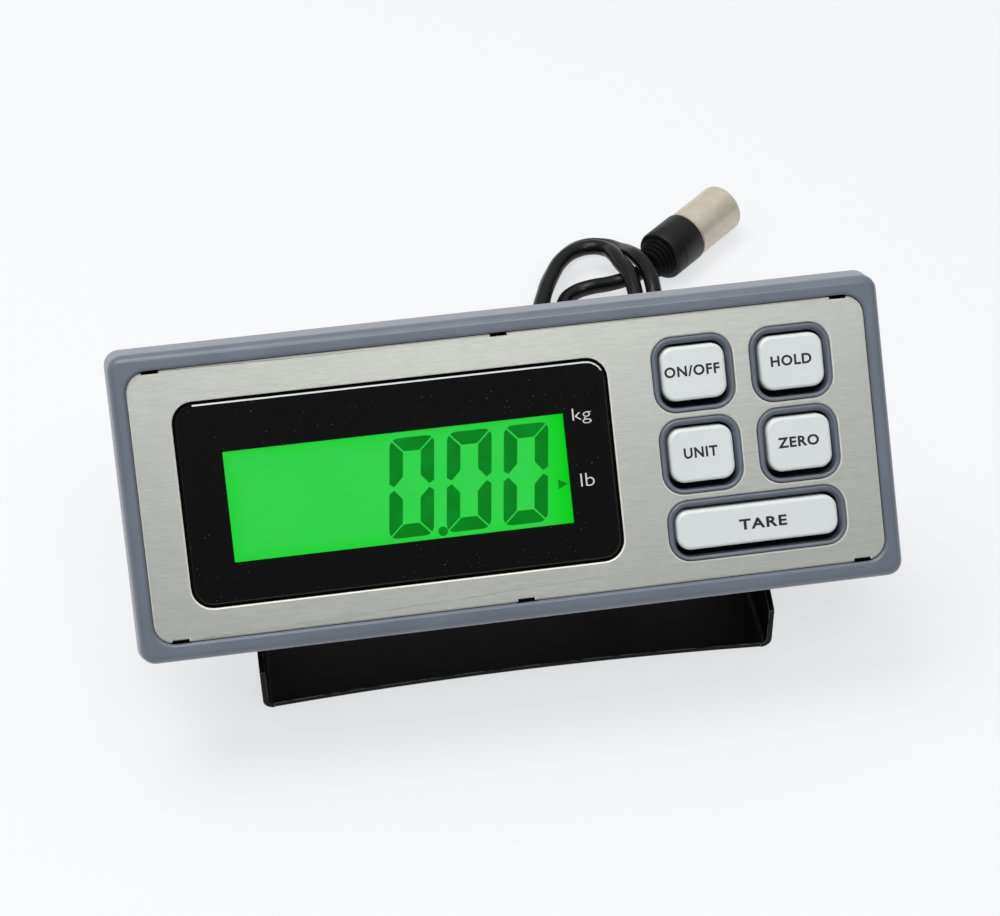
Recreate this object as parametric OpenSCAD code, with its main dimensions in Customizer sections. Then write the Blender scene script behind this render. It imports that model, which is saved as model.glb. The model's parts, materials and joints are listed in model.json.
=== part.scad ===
// Remote display indicator: a wide flat head with a window, five keys and a tilting sheet steel stand.
// Lengths are in millimetres. X runs to the right, Y to the back, Z up.
// The origin is the centre of the stand's base, on the face that rests on the table.

/* [Head casing] */
// Width of the casing at its front edge
case_w = 199.5; // [196:0.1:215]
// Height of the casing at its front edge
case_h = 79.2; // [78:0.1:88]
// Depth of the front bezel, from its crest to the parting line
bezel_d = 15; // [14.6:0.1:18]
// Growth of each side from the front edge to the parting line
side_draft = 1.2; // [0.2:0.1:2]
// Corner radius of the casing
case_corner_r = 4; // [3:0.1:6]
// Width of the rounded front edge
edge_round = 2.2; // [1:0.1:3]
// Depth of the rounded front edge
edge_drop = 2.8; // [1.5:0.1:4]
// Thickness of the bezel's side walls
bezel_wall = 2.2; // [1.6:0.1:2.6]
// Thickness of the panel that carries faceplate, lens and keys
panel_t = 2.4; // [2:0.1:3]
// Depth of the rear cover's flat wings
cover_d = 5; // [4.4:0.1:7]
// Thickness of the rear cover's walls
cover_wall = 2; // [1.6:0.1:2.6]
// Height of the cover's lip inside the bezel
lip_h = 2; // [1:0.1:3]
// Thickness of the cover's lip
lip_t = 1.2; // [0.8:0.1:1.8]

/* [Rear housing] */
// Width of the rear housing between the stand's ears
hump_w = 134; // [126:0.1:134.6]
// Distance of the rear housing from the casing's upper and lower edge
hump_edge = 10.6; // [9:0.1:13]
// Depth of the rear housing behind the wings
hump_d = 24; // [22:0.1:26]
// Corner radius of the rear housing
hump_corner_r = 5; // [3:0.1:8]
// Chamfer round the rear housing's back
hump_chamfer = 3; // [1:0.1:4]

/* [Tilt and stand] */
// Tilt of the face back from upright
head_tilt = 40; // [30:1:60]
// Height of the tilt pivot above the table
pivot_h = 52.1; // [50:0.1:60]
// Distance of the tilt pivot behind the wings' back face
pivot_back = 12; // [11.5:0.1:14]
// Outer width of the stand
stand_w = 141.2; // [141.2:0.1:150]
// Depth of the stand's base at its corners
base_d = 64.8; // [60:0.1:72]
// Thickness of the stand's sheet steel
stand_t = 1.5; // [1.2:0.1:2]
// Outer radius of the stand's bends
bend_r = 3; // [2.5:0.1:4]
// How far the base's front and rear edges curve in at the middle
base_bow = 2.4; // [1:0.1:4]
// Height of the ears' upright front and rear edges
ear_edge_h = 14.6; // [12:0.1:16]
// Half width of the ears at their shoulder
ear_shoulder = 24.5; // [22:0.1:26]
// Height of the ears' shoulder
ear_shoulder_h = 18; // [17:0.1:20]
// Radius of the ears' round top
ear_top_r = 10; // [9:0.1:10.5]
// Radius of the two fixing holes in the base
base_hole_r = 2.25; // [1.5:0.05:3]
// Distance between the two fixing holes
base_hole_pitch = 80; // [60:1:90]

/* [Pivot screws] */
// Radius of the screw's stud
stud_r = 2.5; // [2:0.05:3]
// Running clearance of the stud in its insert
stud_gap = 0.05; // [0.03:0.01:0.08]
// Clearance of the stud in the stand's ear and in the washer
ear_hole_gap = 0.3; // [0.2:0.05:0.5]
// Outer radius of the brass insert
insert_r = 4; // [3.8:0.1:4.5]
// Length of the brass insert
insert_l = 9; // [7:0.1:12]
// Radius of the friction washer
washer_r = 9; // [8:0.1:10]
// Clearance between the washer and the ear
washer_gap = 0.05; // [0.03:0.01:0.1]
// Radius of the knob's head
knob_r = 9; // [8:0.1:10]
// Thickness of the knob's head
knob_t = 9; // [7:0.1:12]
// Radius of the knob's collar against the ear
knob_collar_r = 6.5; // [5.5:0.1:7]
// Thickness of the knob's collar
knob_collar_t = 2; // [1:0.1:3]
// Number of grip flutes round the knob
knob_flutes = 10; // [6:1:14]
// Radius of one grip flute
flute_r = 1.6; // [1:0.1:1.8]

/* [Faceplate] */
// Width of the moulded frame left and right of the faceplate
frame_side = 4.4; // [4.2:0.1:5]
// Height of the moulded frame above and below the faceplate
frame_edge = 4.9; // [4.6:0.1:5.1]
// Thickness of the steel faceplate
plate_t = 0.8; // [0.5:0.1:1]
// Corner radius of the faceplate
plate_corner_r = 5.2; // [4:0.1:7]
// How far the faceplate's front lies below the bezel's crest
plate_drop = 1.1; // [0.8:0.1:1.6]
// Clearance round the faceplate in its recess
plate_gap = 0.25; // [0.1:0.05:0.4]
// Width of a bent holding tab
tab_w = 4.4; // [3:0.1:5]
// Distance of the outer tabs' middle from the faceplate's ends
tab_inset = 6.35; // [6:0.05:9]
// Depth of the notch that a tab is bent from
tab_notch = 0.7; // [0.4:0.1:1]
// Reach of a tab behind the bezel's panel
tab_reach = 1.3; // [0.5:0.1:2]
// Clearance beside a tab in its slot
slot_side = 0.6; // [0.3:0.1:1]
// How far a slot shows beyond the faceplate's edge
slot_show = 0.9; // [0.4:0.1:1.2]

/* [Window] */
// Width of the faceplate left of the window
window_left = 10.35; // [9:0.05:12]
// Width of the faceplate between the window and the keys' collars
window_right = 11.8; // [10:0.1:13]
// Height of the faceplate above the window
window_top = 8.7; // [7:0.1:9.5]
// Height of the faceplate below the window
window_bottom = 7.7; // [6:0.1:9]
// Corner radius of the opening
window_corner_r = 5.6; // [4:0.1:8]
// Gap between the lens and the opening's edge
lens_gap = 0.9; // [0.5:0.1:1.5]
// Thickness of the acrylic lens
lens_t = 2; // [1.5:0.1:2.3]
// How far the lens stands above the faceplate
lens_proud = 0.2; // [0:0.05:0.5]
// Bevel round the lens's front
lens_bevel = 0.5; // [0.2:0.1:0.8]
// Thickness of the adhesive frame behind the lens
tape_t = 0.3; // [0.2:0.05:0.4]
// Width of the adhesive frame
tape_w = 5; // [3:0.1:7]

/* [Display] */
// Dark border of the window left of the viewing area
view_left = 11.85; // [11:0.05:14]
// Dark border of the window right of the viewing area
view_right = 12.45; // [11.5:0.05:14]
// Dark border of the window above the viewing area
view_top = 13.6; // [12:0.1:15]
// Dark border of the window below the viewing area
view_bottom = 10.9; // [10:0.1:12]
// Margin of the display's glass left and right of the viewing area
glass_side = 5.15; // [4.5:0.05:5.8]
// Margin of the display's front glass above and below the viewing area
glass_edge = 5.75; // [5:0.05:6]
// Thickness of one sheet of display glass
glass_t = 1.1; // [0.7:0.1:1.3]
// Width of the contact ledge along the front glass
ledge_w = 2; // [1.8:0.1:2.5]
// Thickness of the diffuser sheet
diffuser_t = 0.4; // [0.2:0.1:0.5]
// Margin of the glass left and right of the light guide
guide_side = 2.2; // [2:0.1:3]
// Margin of the glass above and below the light guide
guide_edge = 3.2; // [3:0.1:4]
// Thickness of the light guide
guide_t = 4.4; // [3:0.1:4.5]
// Wall of the display holder left and right of the glass
holder_side = 3; // [2.5:0.1:4]
// Wall of the display holder above and below the glass
holder_edge = 2.5; // [2:0.1:3.5]
// Width of a contact strip
strip_w = 1.6; // [1.2:0.1:1.6]
// Margin of the glass beyond the contact strips' ends
strip_inset = 5; // [4:0.1:9]
// Number of backlight lamps
lamp_count = 4; // [2:1:5]
// Spacing of the backlight lamps
lamp_pitch = 7; // [5:0.1:7]
// Size of a backlight lamp along the board
lamp_w = 3.2; // [2:0.1:4]
// Thickness of a backlight lamp
lamp_t = 1.2; // [0.8:0.1:1.4]
// Height of a backlight lamp above the board
lamp_h = 3.4; // [2:0.1:4]

/* [Keys] */
// Width of a square key's collar
collar_w = 21; // [20:0.1:21.6]
// How much lower the wide key's collar is than a square one
wide_drop = 3.8; // [3.4:0.1:4.6]
// Corner radius of a collar
collar_corner_r = 5.4; // [4.8:0.1:6]
// Width of the collar's flat crest
collar_crest = 0.9; // [0.5:0.1:1.1]
// Width of the slope inside the collar
collar_slope = 0.7; // [0.5:0.1:1]
// Height of the collar above the faceplate
collar_proud = 0.5; // [0.2:0.1:0.8]
// Gap between a collar and the faceplate
collar_gap = 0.3; // [0.15:0.05:0.5]
// Width of the faceplate right of the keys' collars
key_right = 9.75; // [9:0.05:11]
// Distance between the two columns of keys
key_col_pitch = 25.8; // [25:0.1:26.2]
// Height of the faceplate above the keys' collars
key_top = 6.1; // [5.8:0.1:6.6]
// Height of the faceplate below the keys' collars
key_bottom = 5.4; // [5.2:0.1:6]
// Gap between the collars of the square keys
key_row_gap = 2; // [1.4:0.1:2.4]
// Gap between the square keys' collars and the wide one
wide_row_gap = 2.1; // [1.6:0.1:2.6]
// Clearance of a key in its well
key_gap = 0.3; // [0.25:0.05:0.4]
// How far a key's top stands above the bezel's crest
key_proud = 0.6; // [0.2:0.1:1.2]
// Width of the slope round a key's top
key_taper = 0.4; // [0.2:0.1:0.7]
// Depth of the slope round a key's top
key_taper_d = 1; // [0.6:0.1:1.5]
// Thickness of a key's walls
key_wall = 1.3; // [1:0.1:1.5]
// Travel of a key
key_travel = 0.5; // [0.3:0.05:0.6]
// Thickness of the flange that holds a key in its well
flange_t = 1; // [0.8:0.1:1.2]
// Overlap of the flange behind the panel
flange_lip = 0.8; // [0.6:0.1:1]
// Rest gap between the flange and the panel
flange_gap = 0.1; // [0.05:0.05:0.2]
// Radius of a key's post
post_r = 2.4; // [2:0.1:2.8]

/* [Switches and board] */
// Side of a switch body
switch_w = 6; // [5:0.1:7]
// Height of a switch body
switch_h = 3.4; // [3:0.1:3.6]
// Radius of a switch plunger
plunger_r = 1.75; // [1.4:0.05:2]
// Running clearance of the plunger
plunger_gap = 0.05; // [0.03:0.01:0.08]
// Plunger length inside the switch at rest
plunger_in = 1; // [0.8:0.1:1.2]
// Plunger length outside the switch at rest
plunger_out = 2; // [1.5:0.1:2.4]
// Space left below the plunger of a pressed key
plunger_room = 0.4; // [0.3:0.1:0.6]
// Gap between the main board and the casing's left and right walls
board_side = 11.55; // [11:0.05:13]
// Gap between the main board and the casing's upper and lower walls
board_edge = 4.1; // [3.8:0.1:4.3]
// Thickness of the main board
board_t = 1.6; // [1.2:0.1:1.7]
// Depth of the main board's front behind the bezel's crest
board_drop = 12; // [11.9:0.1:12.2]
// Distance of the board's corner screws from its left and right edge
board_screw_side = 4; // [3.6:0.1:4.4]
// Distance of the board's screws from its upper and lower edge
board_screw_edge = 2.3; // [2:0.1:2.4]
// Distance of the board's middle screws from the window
board_mid_gap = 3; // [2.8:0.1:4]
// Radius of a board screw's shank
board_screw_r = 1.2; // [1:0.05:1.4]
// Radius of a board screw's head
board_head_r = 2.1; // [1.8:0.1:2.2]
// Thickness of a board screw's head
board_head_t = 1.4; // [1:0.1:1.6]
// Length of a board screw's shank
board_screw_l = 6; // [5:0.1:7]
// Radius of a board post
board_post_r = 2.2; // [2:0.1:2.3]
// Clearance of a screw in its hole
screw_gap = 0.05; // [0.03:0.01:0.08]
// Side of the controller chip
chip_w = 12; // [8:0.5:14]
// Thickness of the controller chip
chip_t = 1.4; // [1:0.1:1.8]
// Radius of a storage capacitor
capacitor_r = 3; // [2:0.1:4]
// Height of a storage capacitor
capacitor_h = 7; // [5:0.1:9]
// Length of the crystal's can
crystal_l = 10; // [8:0.1:12]
// Width of the crystal's can
crystal_w = 4; // [3:0.1:5]
// Height of the crystal's can
crystal_h = 3; // [2:0.1:3.5]

/* [Case screws] */
// Distance of the case screws from the casing's left and right walls
case_screw_side = 6.55; // [6:0.05:7]
// Distance of the case screws from the casing's upper and lower walls
case_screw_edge = 8.4; // [7.9:0.1:11]
// Radius of a case screw's shank
case_screw_r = 1.5; // [1.3:0.05:1.7]
// Length of a case screw's shank
case_screw_l = 12; // [9:0.1:13]
// Radius of a case screw's head
case_head_r = 2.8; // [2.4:0.1:3.1]
// Thickness of a case screw's head
case_head_t = 1.8; // [1.4:0.1:2]
// Radius of a screw boss
case_boss_r = 3.9; // [3.7:0.1:4.1]

/* [Cable and plug] */
// Radius of the signal cable
cable_r = 2.5; // [2.2:0.1:2.8]
// Sideways place of the cable's outlet
outlet_x = 35; // [30:0.5:40]
// Height of the cable's outlet above the pivot on the housing's back
outlet_y = 5; // [2:0.5:8]
// Length of the tapered strain relief behind the housing
relief_l = 18; // [16:0.1:24]
// Radius of the strain relief's root
relief_root_r = 5.2; // [4.8:0.1:6]
// Radius of the strain relief's tip
relief_tip_r = 3.5; // [3.3:0.1:4]
// Radius of the relief's neck in the housing's wall
relief_neck_r = 4; // [3.6:0.1:4.2]
// Radius of the relief's flanges
relief_flange_r = 6.4; // [5.8:0.1:7]
// Thickness of a relief flange
relief_flange_t = 1.6; // [1:0.1:2]
// Running clearance of the cable in the relief and in the plug's boot
bore_gap = 0.05; // [0.03:0.01:0.1]
// Width of the cable's plug inside the head
harness_w = 10; // [8:0.1:12]
// Height of the cable's plug inside the head
harness_h = 6; // [5:0.1:7]
// Height of the board's socket
socket_t = 4; // [3:0.1:5]
// Length of the cable's plug inside the head
harness_l = 6; // [5:0.1:7]
// Radius of one inner wire
wire_r = 0.6; // [0.4:0.05:0.7]
// Length of the bared inner wires
wire_l = 5; // [3:0.1:7]
// Number of inner wires
wire_count = 4; // [2:1:5]
// Direction of the plug on the table, from the X axis
plug_turn = 41; // [35:0.5:45]
// Radius of the plug's metal shell
shell_r = 8; // [7.6:0.1:8.2]
// Length of the plug's metal shell
shell_l = 20.5; // [18:0.1:24]
// Wall of the plug's metal shell
shell_wall = 1; // [0.8:0.1:1.4]
// Radius of the plug's black bushing
bushing_r = 8.3; // [8.2:0.1:8.6]
// Length of the plug's black bushing
bushing_l = 13.3; // [11:0.1:16]
// Length of the plug's ribbed boot
boot_l = 5.6; // [5:0.1:8]
// Radius of the boot's wide end
boot_root_r = 7; // [6:0.1:7.4]
// Radius of the boot's thin end
boot_tip_r = 4.6; // [4:0.1:5]
// Number of grooves round the boot
boot_grooves = 3; // [2:1:3]
// Depth of a boot groove
groove_d = 0.5; // [0.2:0.1:0.6]
// Width of a boot groove
groove_w = 0.5; // [0.3:0.1:0.6]
// Radius of one contact hole
pin_r = 1.1; // [0.8:0.05:1.3]
// Number of contact holes
pin_count = 4; // [3:1:5]
// Radius of the ring of contact holes
pin_ring_r = 3.6; // [3:0.1:4.5]
// Wall of one contact sleeve
sleeve_wall = 0.3; // [0.2:0.05:0.4]
// How far the plug's core lies inside the shell's open end
core_drop = 0.8; // [0.3:0.1:2]
// Rounding of the shell's open end
shell_round = 1; // [0.4:0.1:1.4]
// Length of the shell's narrow step beside the bushing
shell_step_l = 0.6; // [0.3:0.1:1.5]
// Depth of the shell's narrow step beside the bushing
shell_step_d = 0.3; // [0.2:0.1:0.5]
// Number of turns in each layer of the put away coil
coil_turns = 3.25; // [2.25:1:4.25]
// Radius of the coil at the middle of its turns
coil_mid_r = 26; // [25:0.1:30]
// Clearance between neighbouring turns and layers
coil_gap = 1.2; // [1.15:0.05:1.4]

/* [Hidden] */

$fn = 48;
hull_fn = 32;
overrun = 1;
sheet = 0.02;

// Depth levels of the head, measured from the bezel's crest, negative towards the back
plate_front_z = -plate_drop;
plate_back_z = plate_front_z - plate_t;
panel_back_z = plate_back_z - panel_t;
collar_top_z = plate_front_z + collar_proud;
lens_front_z = plate_front_z + lens_proud;
lens_back_z = lens_front_z - lens_t;
lens_seat_z = lens_back_z - tape_t;
rear_glass_z = panel_back_z - glass_t;
glass_back_z = rear_glass_z - glass_t;
board_front_z = -board_drop;
board_back_z = board_front_z - board_t;
parting_z = -bezel_d;
cover_inner_z = parting_z - cover_d + cover_wall;
cover_back_z = parting_z - cover_d;
hump_back_z = cover_back_z - hump_d;
hump_inner_z = hump_back_z + cover_wall;
pivot_z = cover_back_z - pivot_back;

// Outlines of the head
case_grown_w = case_w + 2 * side_draft;
case_grown_h = case_h + 2 * side_draft;
cavity_w = case_w - 2 * bezel_wall;
cavity_h = case_h - 2 * bezel_wall;
cavity_r = case_corner_r - side_draft;
cover_inset = 3 * side_draft;
hump_h = case_h - 2 * hump_edge;
plate_w = case_w - 2 * frame_side;
plate_h = case_h - 2 * frame_edge;
tab_x = plate_w / 2 - tab_inset;

// Key places: centre, collar size
key_col2_x = plate_w / 2 - key_right - collar_w / 2;
key_col_x = key_col2_x - key_col_pitch;
collar_h = (plate_h - key_top - key_bottom - key_row_gap - wide_row_gap + wide_drop) / 3;
wide_collar_h = collar_h - wide_drop;
key_row_y = plate_h / 2 - key_top - collar_h / 2;
key_row2_y = key_row_y - collar_h - key_row_gap;
wide_key_x = (key_col_x + key_col2_x) / 2;
wide_key_y = key_row2_y - collar_h / 2 - wide_row_gap - wide_collar_h / 2;
wide_collar_w = key_col_pitch + collar_w;
key_places = [
    [key_col_x, key_row_y, collar_w, collar_h],
    [key_col2_x, key_row_y, collar_w, collar_h],
    [key_col_x, key_row2_y, collar_w, collar_h],
    [key_col2_x, key_row2_y, collar_w, collar_h],
    [wide_key_x, wide_key_y, wide_collar_w, wide_collar_h]
];

// The window takes the faceplate's room left of the keys
window_end_x = key_col_x - collar_w / 2 - window_right;
window_w = window_end_x + plate_w / 2 - window_left;
window_h = plate_h - window_top - window_bottom;
window_x = window_end_x - window_w / 2;
window_y = (window_bottom - window_top) / 2;
lens_w = window_w - 2 * lens_gap;
lens_h = window_h - 2 * lens_gap;
lens_r = window_corner_r - lens_gap;
view_w = window_w - view_left - view_right;
view_h = window_h - view_top - view_bottom;
view_x = window_x + (view_left - view_right) / 2;
view_y = window_y + (view_bottom - view_top) / 2;

// Depths inside the switches
well_inset = collar_crest + collar_slope;
switch_top_z = board_front_z + switch_h;
plunger_top_z = switch_top_z + plunger_out;
plunger_low_z = switch_top_z - plunger_in;
well_floor_z = plunger_low_z - key_travel - plunger_room;

// The board and its screws
board_w = cavity_w - 2 * board_side;
board_h = cavity_h - 2 * board_edge;
board_screw_x = board_w / 2 - board_screw_side;
board_screw_y = board_h / 2 - board_screw_edge;
board_mid_x = window_end_x + board_mid_gap;
case_screw_x = cavity_w / 2 - case_screw_side;
case_screw_y = cavity_h / 2 - case_screw_edge;

// The display's stack
glass_w = view_w + 2 * glass_side;
glass_h = view_h + 2 * glass_edge;
guide_w = glass_w - 2 * guide_side;
guide_h = glass_h - 2 * guide_edge;
holder_w = glass_w + 2 * holder_side;
holder_h = glass_h + 2 * holder_edge;
strip_l = glass_w - 2 * strip_inset;
guide_top_z = glass_back_z - diffuser_t;
guide_low_z = guide_top_z - guide_t;
glass_gap = 0.3;
strip_y = glass_h / 2 - ledge_w / 2;
lamp_x = guide_w / 2 + glass_gap + lamp_t / 2;

// The stand and its ears
stand_half = stand_w / 2;
ear_inner_x = stand_half - stand_t;
washer_t = ear_inner_x - washer_gap - hump_w / 2;
ear_hole_r = stud_r + ear_hole_gap;
bow_r = (pow(stand_half, 2) + pow(base_bow, 2)) / (2 * base_bow);
knob_x = stand_half + washer_gap;
stud_l = insert_l + washer_t + washer_gap + stand_t + washer_gap + knob_collar_t + knob_t / 2;

// The plug lies on the table on its widest ring
plug_x = 66.9;
plug_y = 126.4;
plug_z = bushing_r;

// The coil behind the head: two layers, inwards below and outwards above
coil_x = 0;
coil_y = 71;
coil_enter = 20;
coil_pitch = 2 * cable_r + coil_gap;
coil_in_r = coil_mid_r - coil_pitch * coil_turns / 2;
coil_steps = 24;
coil_sides = 6;
climb_steps = coil_steps / 2;
layer_steps = coil_steps * coil_turns;
coil_total = 2 * layer_steps + climb_steps;
coil_low_z = cable_r;

// Points of the coil's centre line, one for each step
function coil_radius(i) =
    i <= layer_steps ? coil_in_r + coil_pitch * (layer_steps - i) / coil_steps
    : i <= layer_steps + climb_steps ? coil_in_r
    : coil_in_r + coil_pitch * (i - layer_steps - climb_steps) / coil_steps;
function coil_height(i) =
    coil_low_z + coil_pitch * min(1, max(0, (i - layer_steps) / climb_steps));
function coil_point(i) =
    let (turn = coil_enter + 360 * i / coil_steps)
    [coil_x + coil_radius(i) * cos(turn), coil_y + coil_radius(i) * sin(turn), coil_height(i)];
function coil_heading(i) =
    let (turn = coil_enter + 360 * i / coil_steps) [-sin(turn), cos(turn), 0];
coil_start = coil_point(0) - 2 * cable_r * coil_heading(0);
coil_end = coil_point(coil_total) + 2 * cable_r * coil_heading(coil_total);
coil_line = concat([coil_start], [for (i = [0 : coil_total]) coil_point(i)], [coil_end]);

// The cable's outlet on the head, in the row frame
relief_tip_z = hump_back_z - relief_l;
outlet_out = relief_tip_z - pivot_z;
outlet_point = [
    outlet_x,
    outlet_y * sin(head_tilt) - outlet_out * cos(head_tilt),
    pivot_h + outlet_y * cos(head_tilt) + outlet_out * sin(head_tilt)
];
outlet_heading = [0, cos(head_tilt), -sin(head_tilt)];

// The free cable's route, chosen by hand: from the outlet to the coil
lead_route = [
    [35, 36, 28.4],
    [37, 46, 20.5],
    [40, 55, 13],
    [41, 64, 6.5]
];
// From the coil through two loose loops to the plug
tail_route = [
    [30, 98, 8.7],
    [28.5, 108, 8.5],
    [31, 117, 8.2],
    [35, 126, 8.2],
    [39.5, 133.5, 8.2],
    [44.5, 137.6, 8.2],
    [50.2, 138.2, 8.6],
    [54.4, 135, 9.8],
    [55.9, 129.5, 11.9],
    [57, 123, 13.2],
    [58.4, 117.5, 14],
    [58.8, 112, 13.6],
    [58, 104.5, 12],
    [52, 98, 9.5],
    [44.5, 95.5, 8.4],
    [38.5, 97.5, 8.2],
    [34.8, 103, 5],
    [31.5, 110, 2.8],
    [31, 117, 2.6],
    [32.2, 124, 2.6],
    [36.3, 133.4, 2.6],
    [42.6, 142.5, 2.6],
    [49.2, 146.2, 2.6],
    [55.3, 144.8, 3.2],
    [59.6, 137, 7],
    [61.2, 130.5, 11],
    [62.5, 124.5, 13.8],
    [64.2, 117.5, 14.8],
    [64.6, 110.5, 14.6],
    [64, 103, 12],
    [61, 96, 8],
    [54.5, 90.5, 4.5],
    [47, 90.5, 2.7],
    [42, 96, 2.6],
    [41, 103, 2.6],
    [38.5, 108.5, 2.6],
    [37.2, 114, 2.6],
    [38.4, 119.8, 2.6],
    [42.3, 123.4, 2.8],
    [47.6, 124, 3.8],
    [52.9, 122, 6],
    [58, 121, 8]
];

lead_line = concat([outlet_point, outlet_point + 2 * cable_r * outlet_heading], lead_route,
    [coil_start - 2 * cable_r * coil_heading(0), coil_start]);
plug_heading = [cos(plug_turn), sin(plug_turn), 0];
plug_start = [plug_x, plug_y, plug_z];
tail_line = concat([coil_end, coil_end + 2 * cable_r * coil_heading(coil_total)], tail_route,
    [plug_start - 2 * cable_r * plug_heading, plug_start + boot_l * plug_heading]);
tube_sides = 8;

// Length of a line of points
function line_length(line) = len(line) < 2 ? 0
    : sum_all([for (i = [1 : len(line) - 1]) norm(line[i] - line[i - 1])]);
function sum_all(list, i = 0) = i >= len(list) ? 0 : list[i] + sum_all(list, i + 1);

// Least distance between points of the coil that are half a turn or more apart
function coil_least() = min([
    for (i = [0 : len(coil_line) - 1], j = [0 : len(coil_line) - 1])
        if (j >= i + climb_steps) norm(coil_line[i] - coil_line[j])
]);
echo(coil_gap_to_itself = coil_least() - 2 * cable_r);
echo(cable_length = line_length(lead_line) + line_length(coil_line) + line_length(tail_line));

// Rounded rectangle about the origin
module rounded_rect(w, h, r) {
    square([w - 2 * r, h], center = true);
    square([w, h - 2 * r], center = true);
    for (side_x = [-1, 1], side_y = [-1, 1])
        translate([side_x * (w / 2 - r), side_y * (h / 2 - r)]) circle(r = r);
}

// Rounded plate between two depth levels
module slab(w, h, r, low, high) {
    translate([0, 0, low]) linear_extrude(height = high - low) rounded_rect(w, h, r);
}

// Round rod or hole between two depth levels
module rod(r, low, high) {
    translate([0, 0, low]) cylinder(r = r, h = high - low);
}

// Places a piece drawn on the upright face into the tilted head
module on_head() {
    translate([0, 0, pivot_h]) rotate([90 - head_tilt, 0, 0]) translate([0, 0, -pivot_z]) children();
}

// Rod along X at the tilt pivot, starting at x_from and running to the right
module pivot_rod(r, x_from, length) {
    translate([x_from, 0, 0]) rotate([0, 90, 0]) cylinder(r = r, h = length);
}

// The same piece on the left and on the right
module both_sides() {
    for (side = [0, 1]) mirror([side, 0, 0]) children();
}

module at_corners(x, y) {
    for (side_x = [-1, 1], side_y = [-1, 1]) translate([side_x * x, side_y * y, 0]) children();
}

module at_board_screws() {
    at_corners(board_screw_x, board_screw_y) children();
    for (side_y = [-1, 1]) translate([board_mid_x, side_y * board_screw_y, 0]) children();
}

// A tube along a line of points, with its rings square to the line
module tube(line, r, sides) {
    last = len(line) - 1;
    headings = [for (i = [0 : last]) unit(line[min(last, i + 1)] - line[max(0, i - 1)])];
    rings = [for (i = [0 : last])
        let (side = unit(cross(headings[i], [0, 0, 1])), up = cross(side, headings[i]))
        for (k = [0 : sides - 1])
            line[i] + r * (side * cos(360 * (k + 1 / 2) / sides) + up * sin(360 * (k + 1 / 2) / sides))];
    walls = [for (i = [0 : last - 1], k = [0 : sides - 1])
        let (a = i * sides + k, b = i * sides + (k + 1) % sides)
        each [[a, b, b + sides], [a, b + sides, a + sides]]];
    start_cap = [for (k = [1 : sides - 2]) [0, k + 1, k]];
    end_cap = [for (k = [1 : sides - 2]) [last * sides, last * sides + k, last * sides + k + 1]];
    polyhedron(points = rings, faces = concat(walls, start_cap, end_cap), convexity = 10);
}
function unit(v) = v / norm(v);

// Sheet steel stand: base, two bends and two tapered ears
module stand_bracket() {
    color([0.06, 0.06, 0.065]) {
        difference() {
            translate([-stand_half + bend_r, -base_d / 2, 0]) cube([stand_w - 2 * bend_r, base_d, stand_t]);
            for (side = [-1, 1])
                translate([0, side * (base_d / 2 - base_bow + bow_r), -overrun])
                    cylinder(r = bow_r, h = stand_t + 2 * overrun, $fn = 200);
            for (side = [-1, 1])
                translate([side * base_hole_pitch / 2, 0, -overrun])
                    cylinder(r = base_hole_r, h = stand_t + 2 * overrun);
        }
        both_sides() stand_ear();
    }
}

// One bend and ear, on the right
module stand_ear() {
    ear_drop = pivot_h - ear_shoulder_h;
    reach = norm([ear_shoulder, ear_drop]);
    lean = atan2(ear_drop, ear_shoulder) - acos(ear_top_r / reach);
    touch_y = ear_top_r * cos(lean);
    touch_z = pivot_h - ear_top_r * sin(lean);
    translate([stand_half - bend_r, base_d / 2, bend_r]) rotate([90, 0, 0]) difference() {
        intersection() {
            cylinder(r = bend_r, h = base_d);
            translate([0, -bend_r, 0]) cube([bend_r, bend_r, base_d]);
        }
        translate([0, 0, -overrun]) cylinder(r = bend_r - stand_t, h = base_d + 2 * overrun);
    }
    translate([ear_inner_x, 0, 0]) rotate([90, 0, 90]) linear_extrude(height = stand_t) difference() {
        union() {
            polygon([
                [-base_d / 2, bend_r], [base_d / 2, bend_r],
                [base_d / 2, ear_edge_h], [ear_shoulder, ear_shoulder_h],
                [touch_y, touch_z], [-touch_y, touch_z],
                [-ear_shoulder, ear_shoulder_h], [-base_d / 2, ear_edge_h]
            ]);
            translate([0, pivot_h]) circle(r = ear_top_r);
        }
        translate([0, pivot_h]) circle(r = ear_hole_r);
    }
}

// Moulded front: rounded frame, recessed panel, key collars and screw posts
module front_bezel() {
    color([0.38, 0.41, 0.46]) on_head() difference() {
        union() {
            difference() {
                bezel_outside();
                slab(cavity_w, cavity_h, cavity_r, parting_z - overrun, panel_back_z);
                slab(plate_w + 2 * plate_gap, plate_h + 2 * plate_gap, plate_corner_r + plate_gap,
                    plate_back_z, overrun);
            }
            for (place = key_places) translate([place[0], place[1], 0])
                slab(place[2], place[3], collar_corner_r, panel_back_z, collar_top_z);
            at_board_screws() rod(board_post_r, board_front_z, panel_back_z);
            at_corners(case_screw_x, case_screw_y) rod(case_boss_r, parting_z, panel_back_z);
        }
        for (place = key_places) translate([place[0], place[1], 0]) key_well(place[2], place[3]);
        translate([window_x, window_y, 0])
            slab(window_w, window_h, window_corner_r, lens_seat_z, overrun);
        translate([view_x, view_y, 0])
            slab(view_w + 2 * glass_gap, view_h + 2 * glass_gap, glass_gap, panel_back_z - overrun, overrun);
        for (tab = [-tab_x, 0, tab_x], side_y = [-1, 1]) translate([tab, 0, 0]) tab_slot(side_y);
        at_board_screws() rod(board_screw_r + screw_gap, board_front_z - overrun,
            board_back_z + board_screw_l + screw_gap);
        at_corners(case_screw_x, case_screw_y)
            rod(case_screw_r + screw_gap, parting_z - overrun, case_seat_z + case_screw_l + screw_gap);
    }
}

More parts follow.
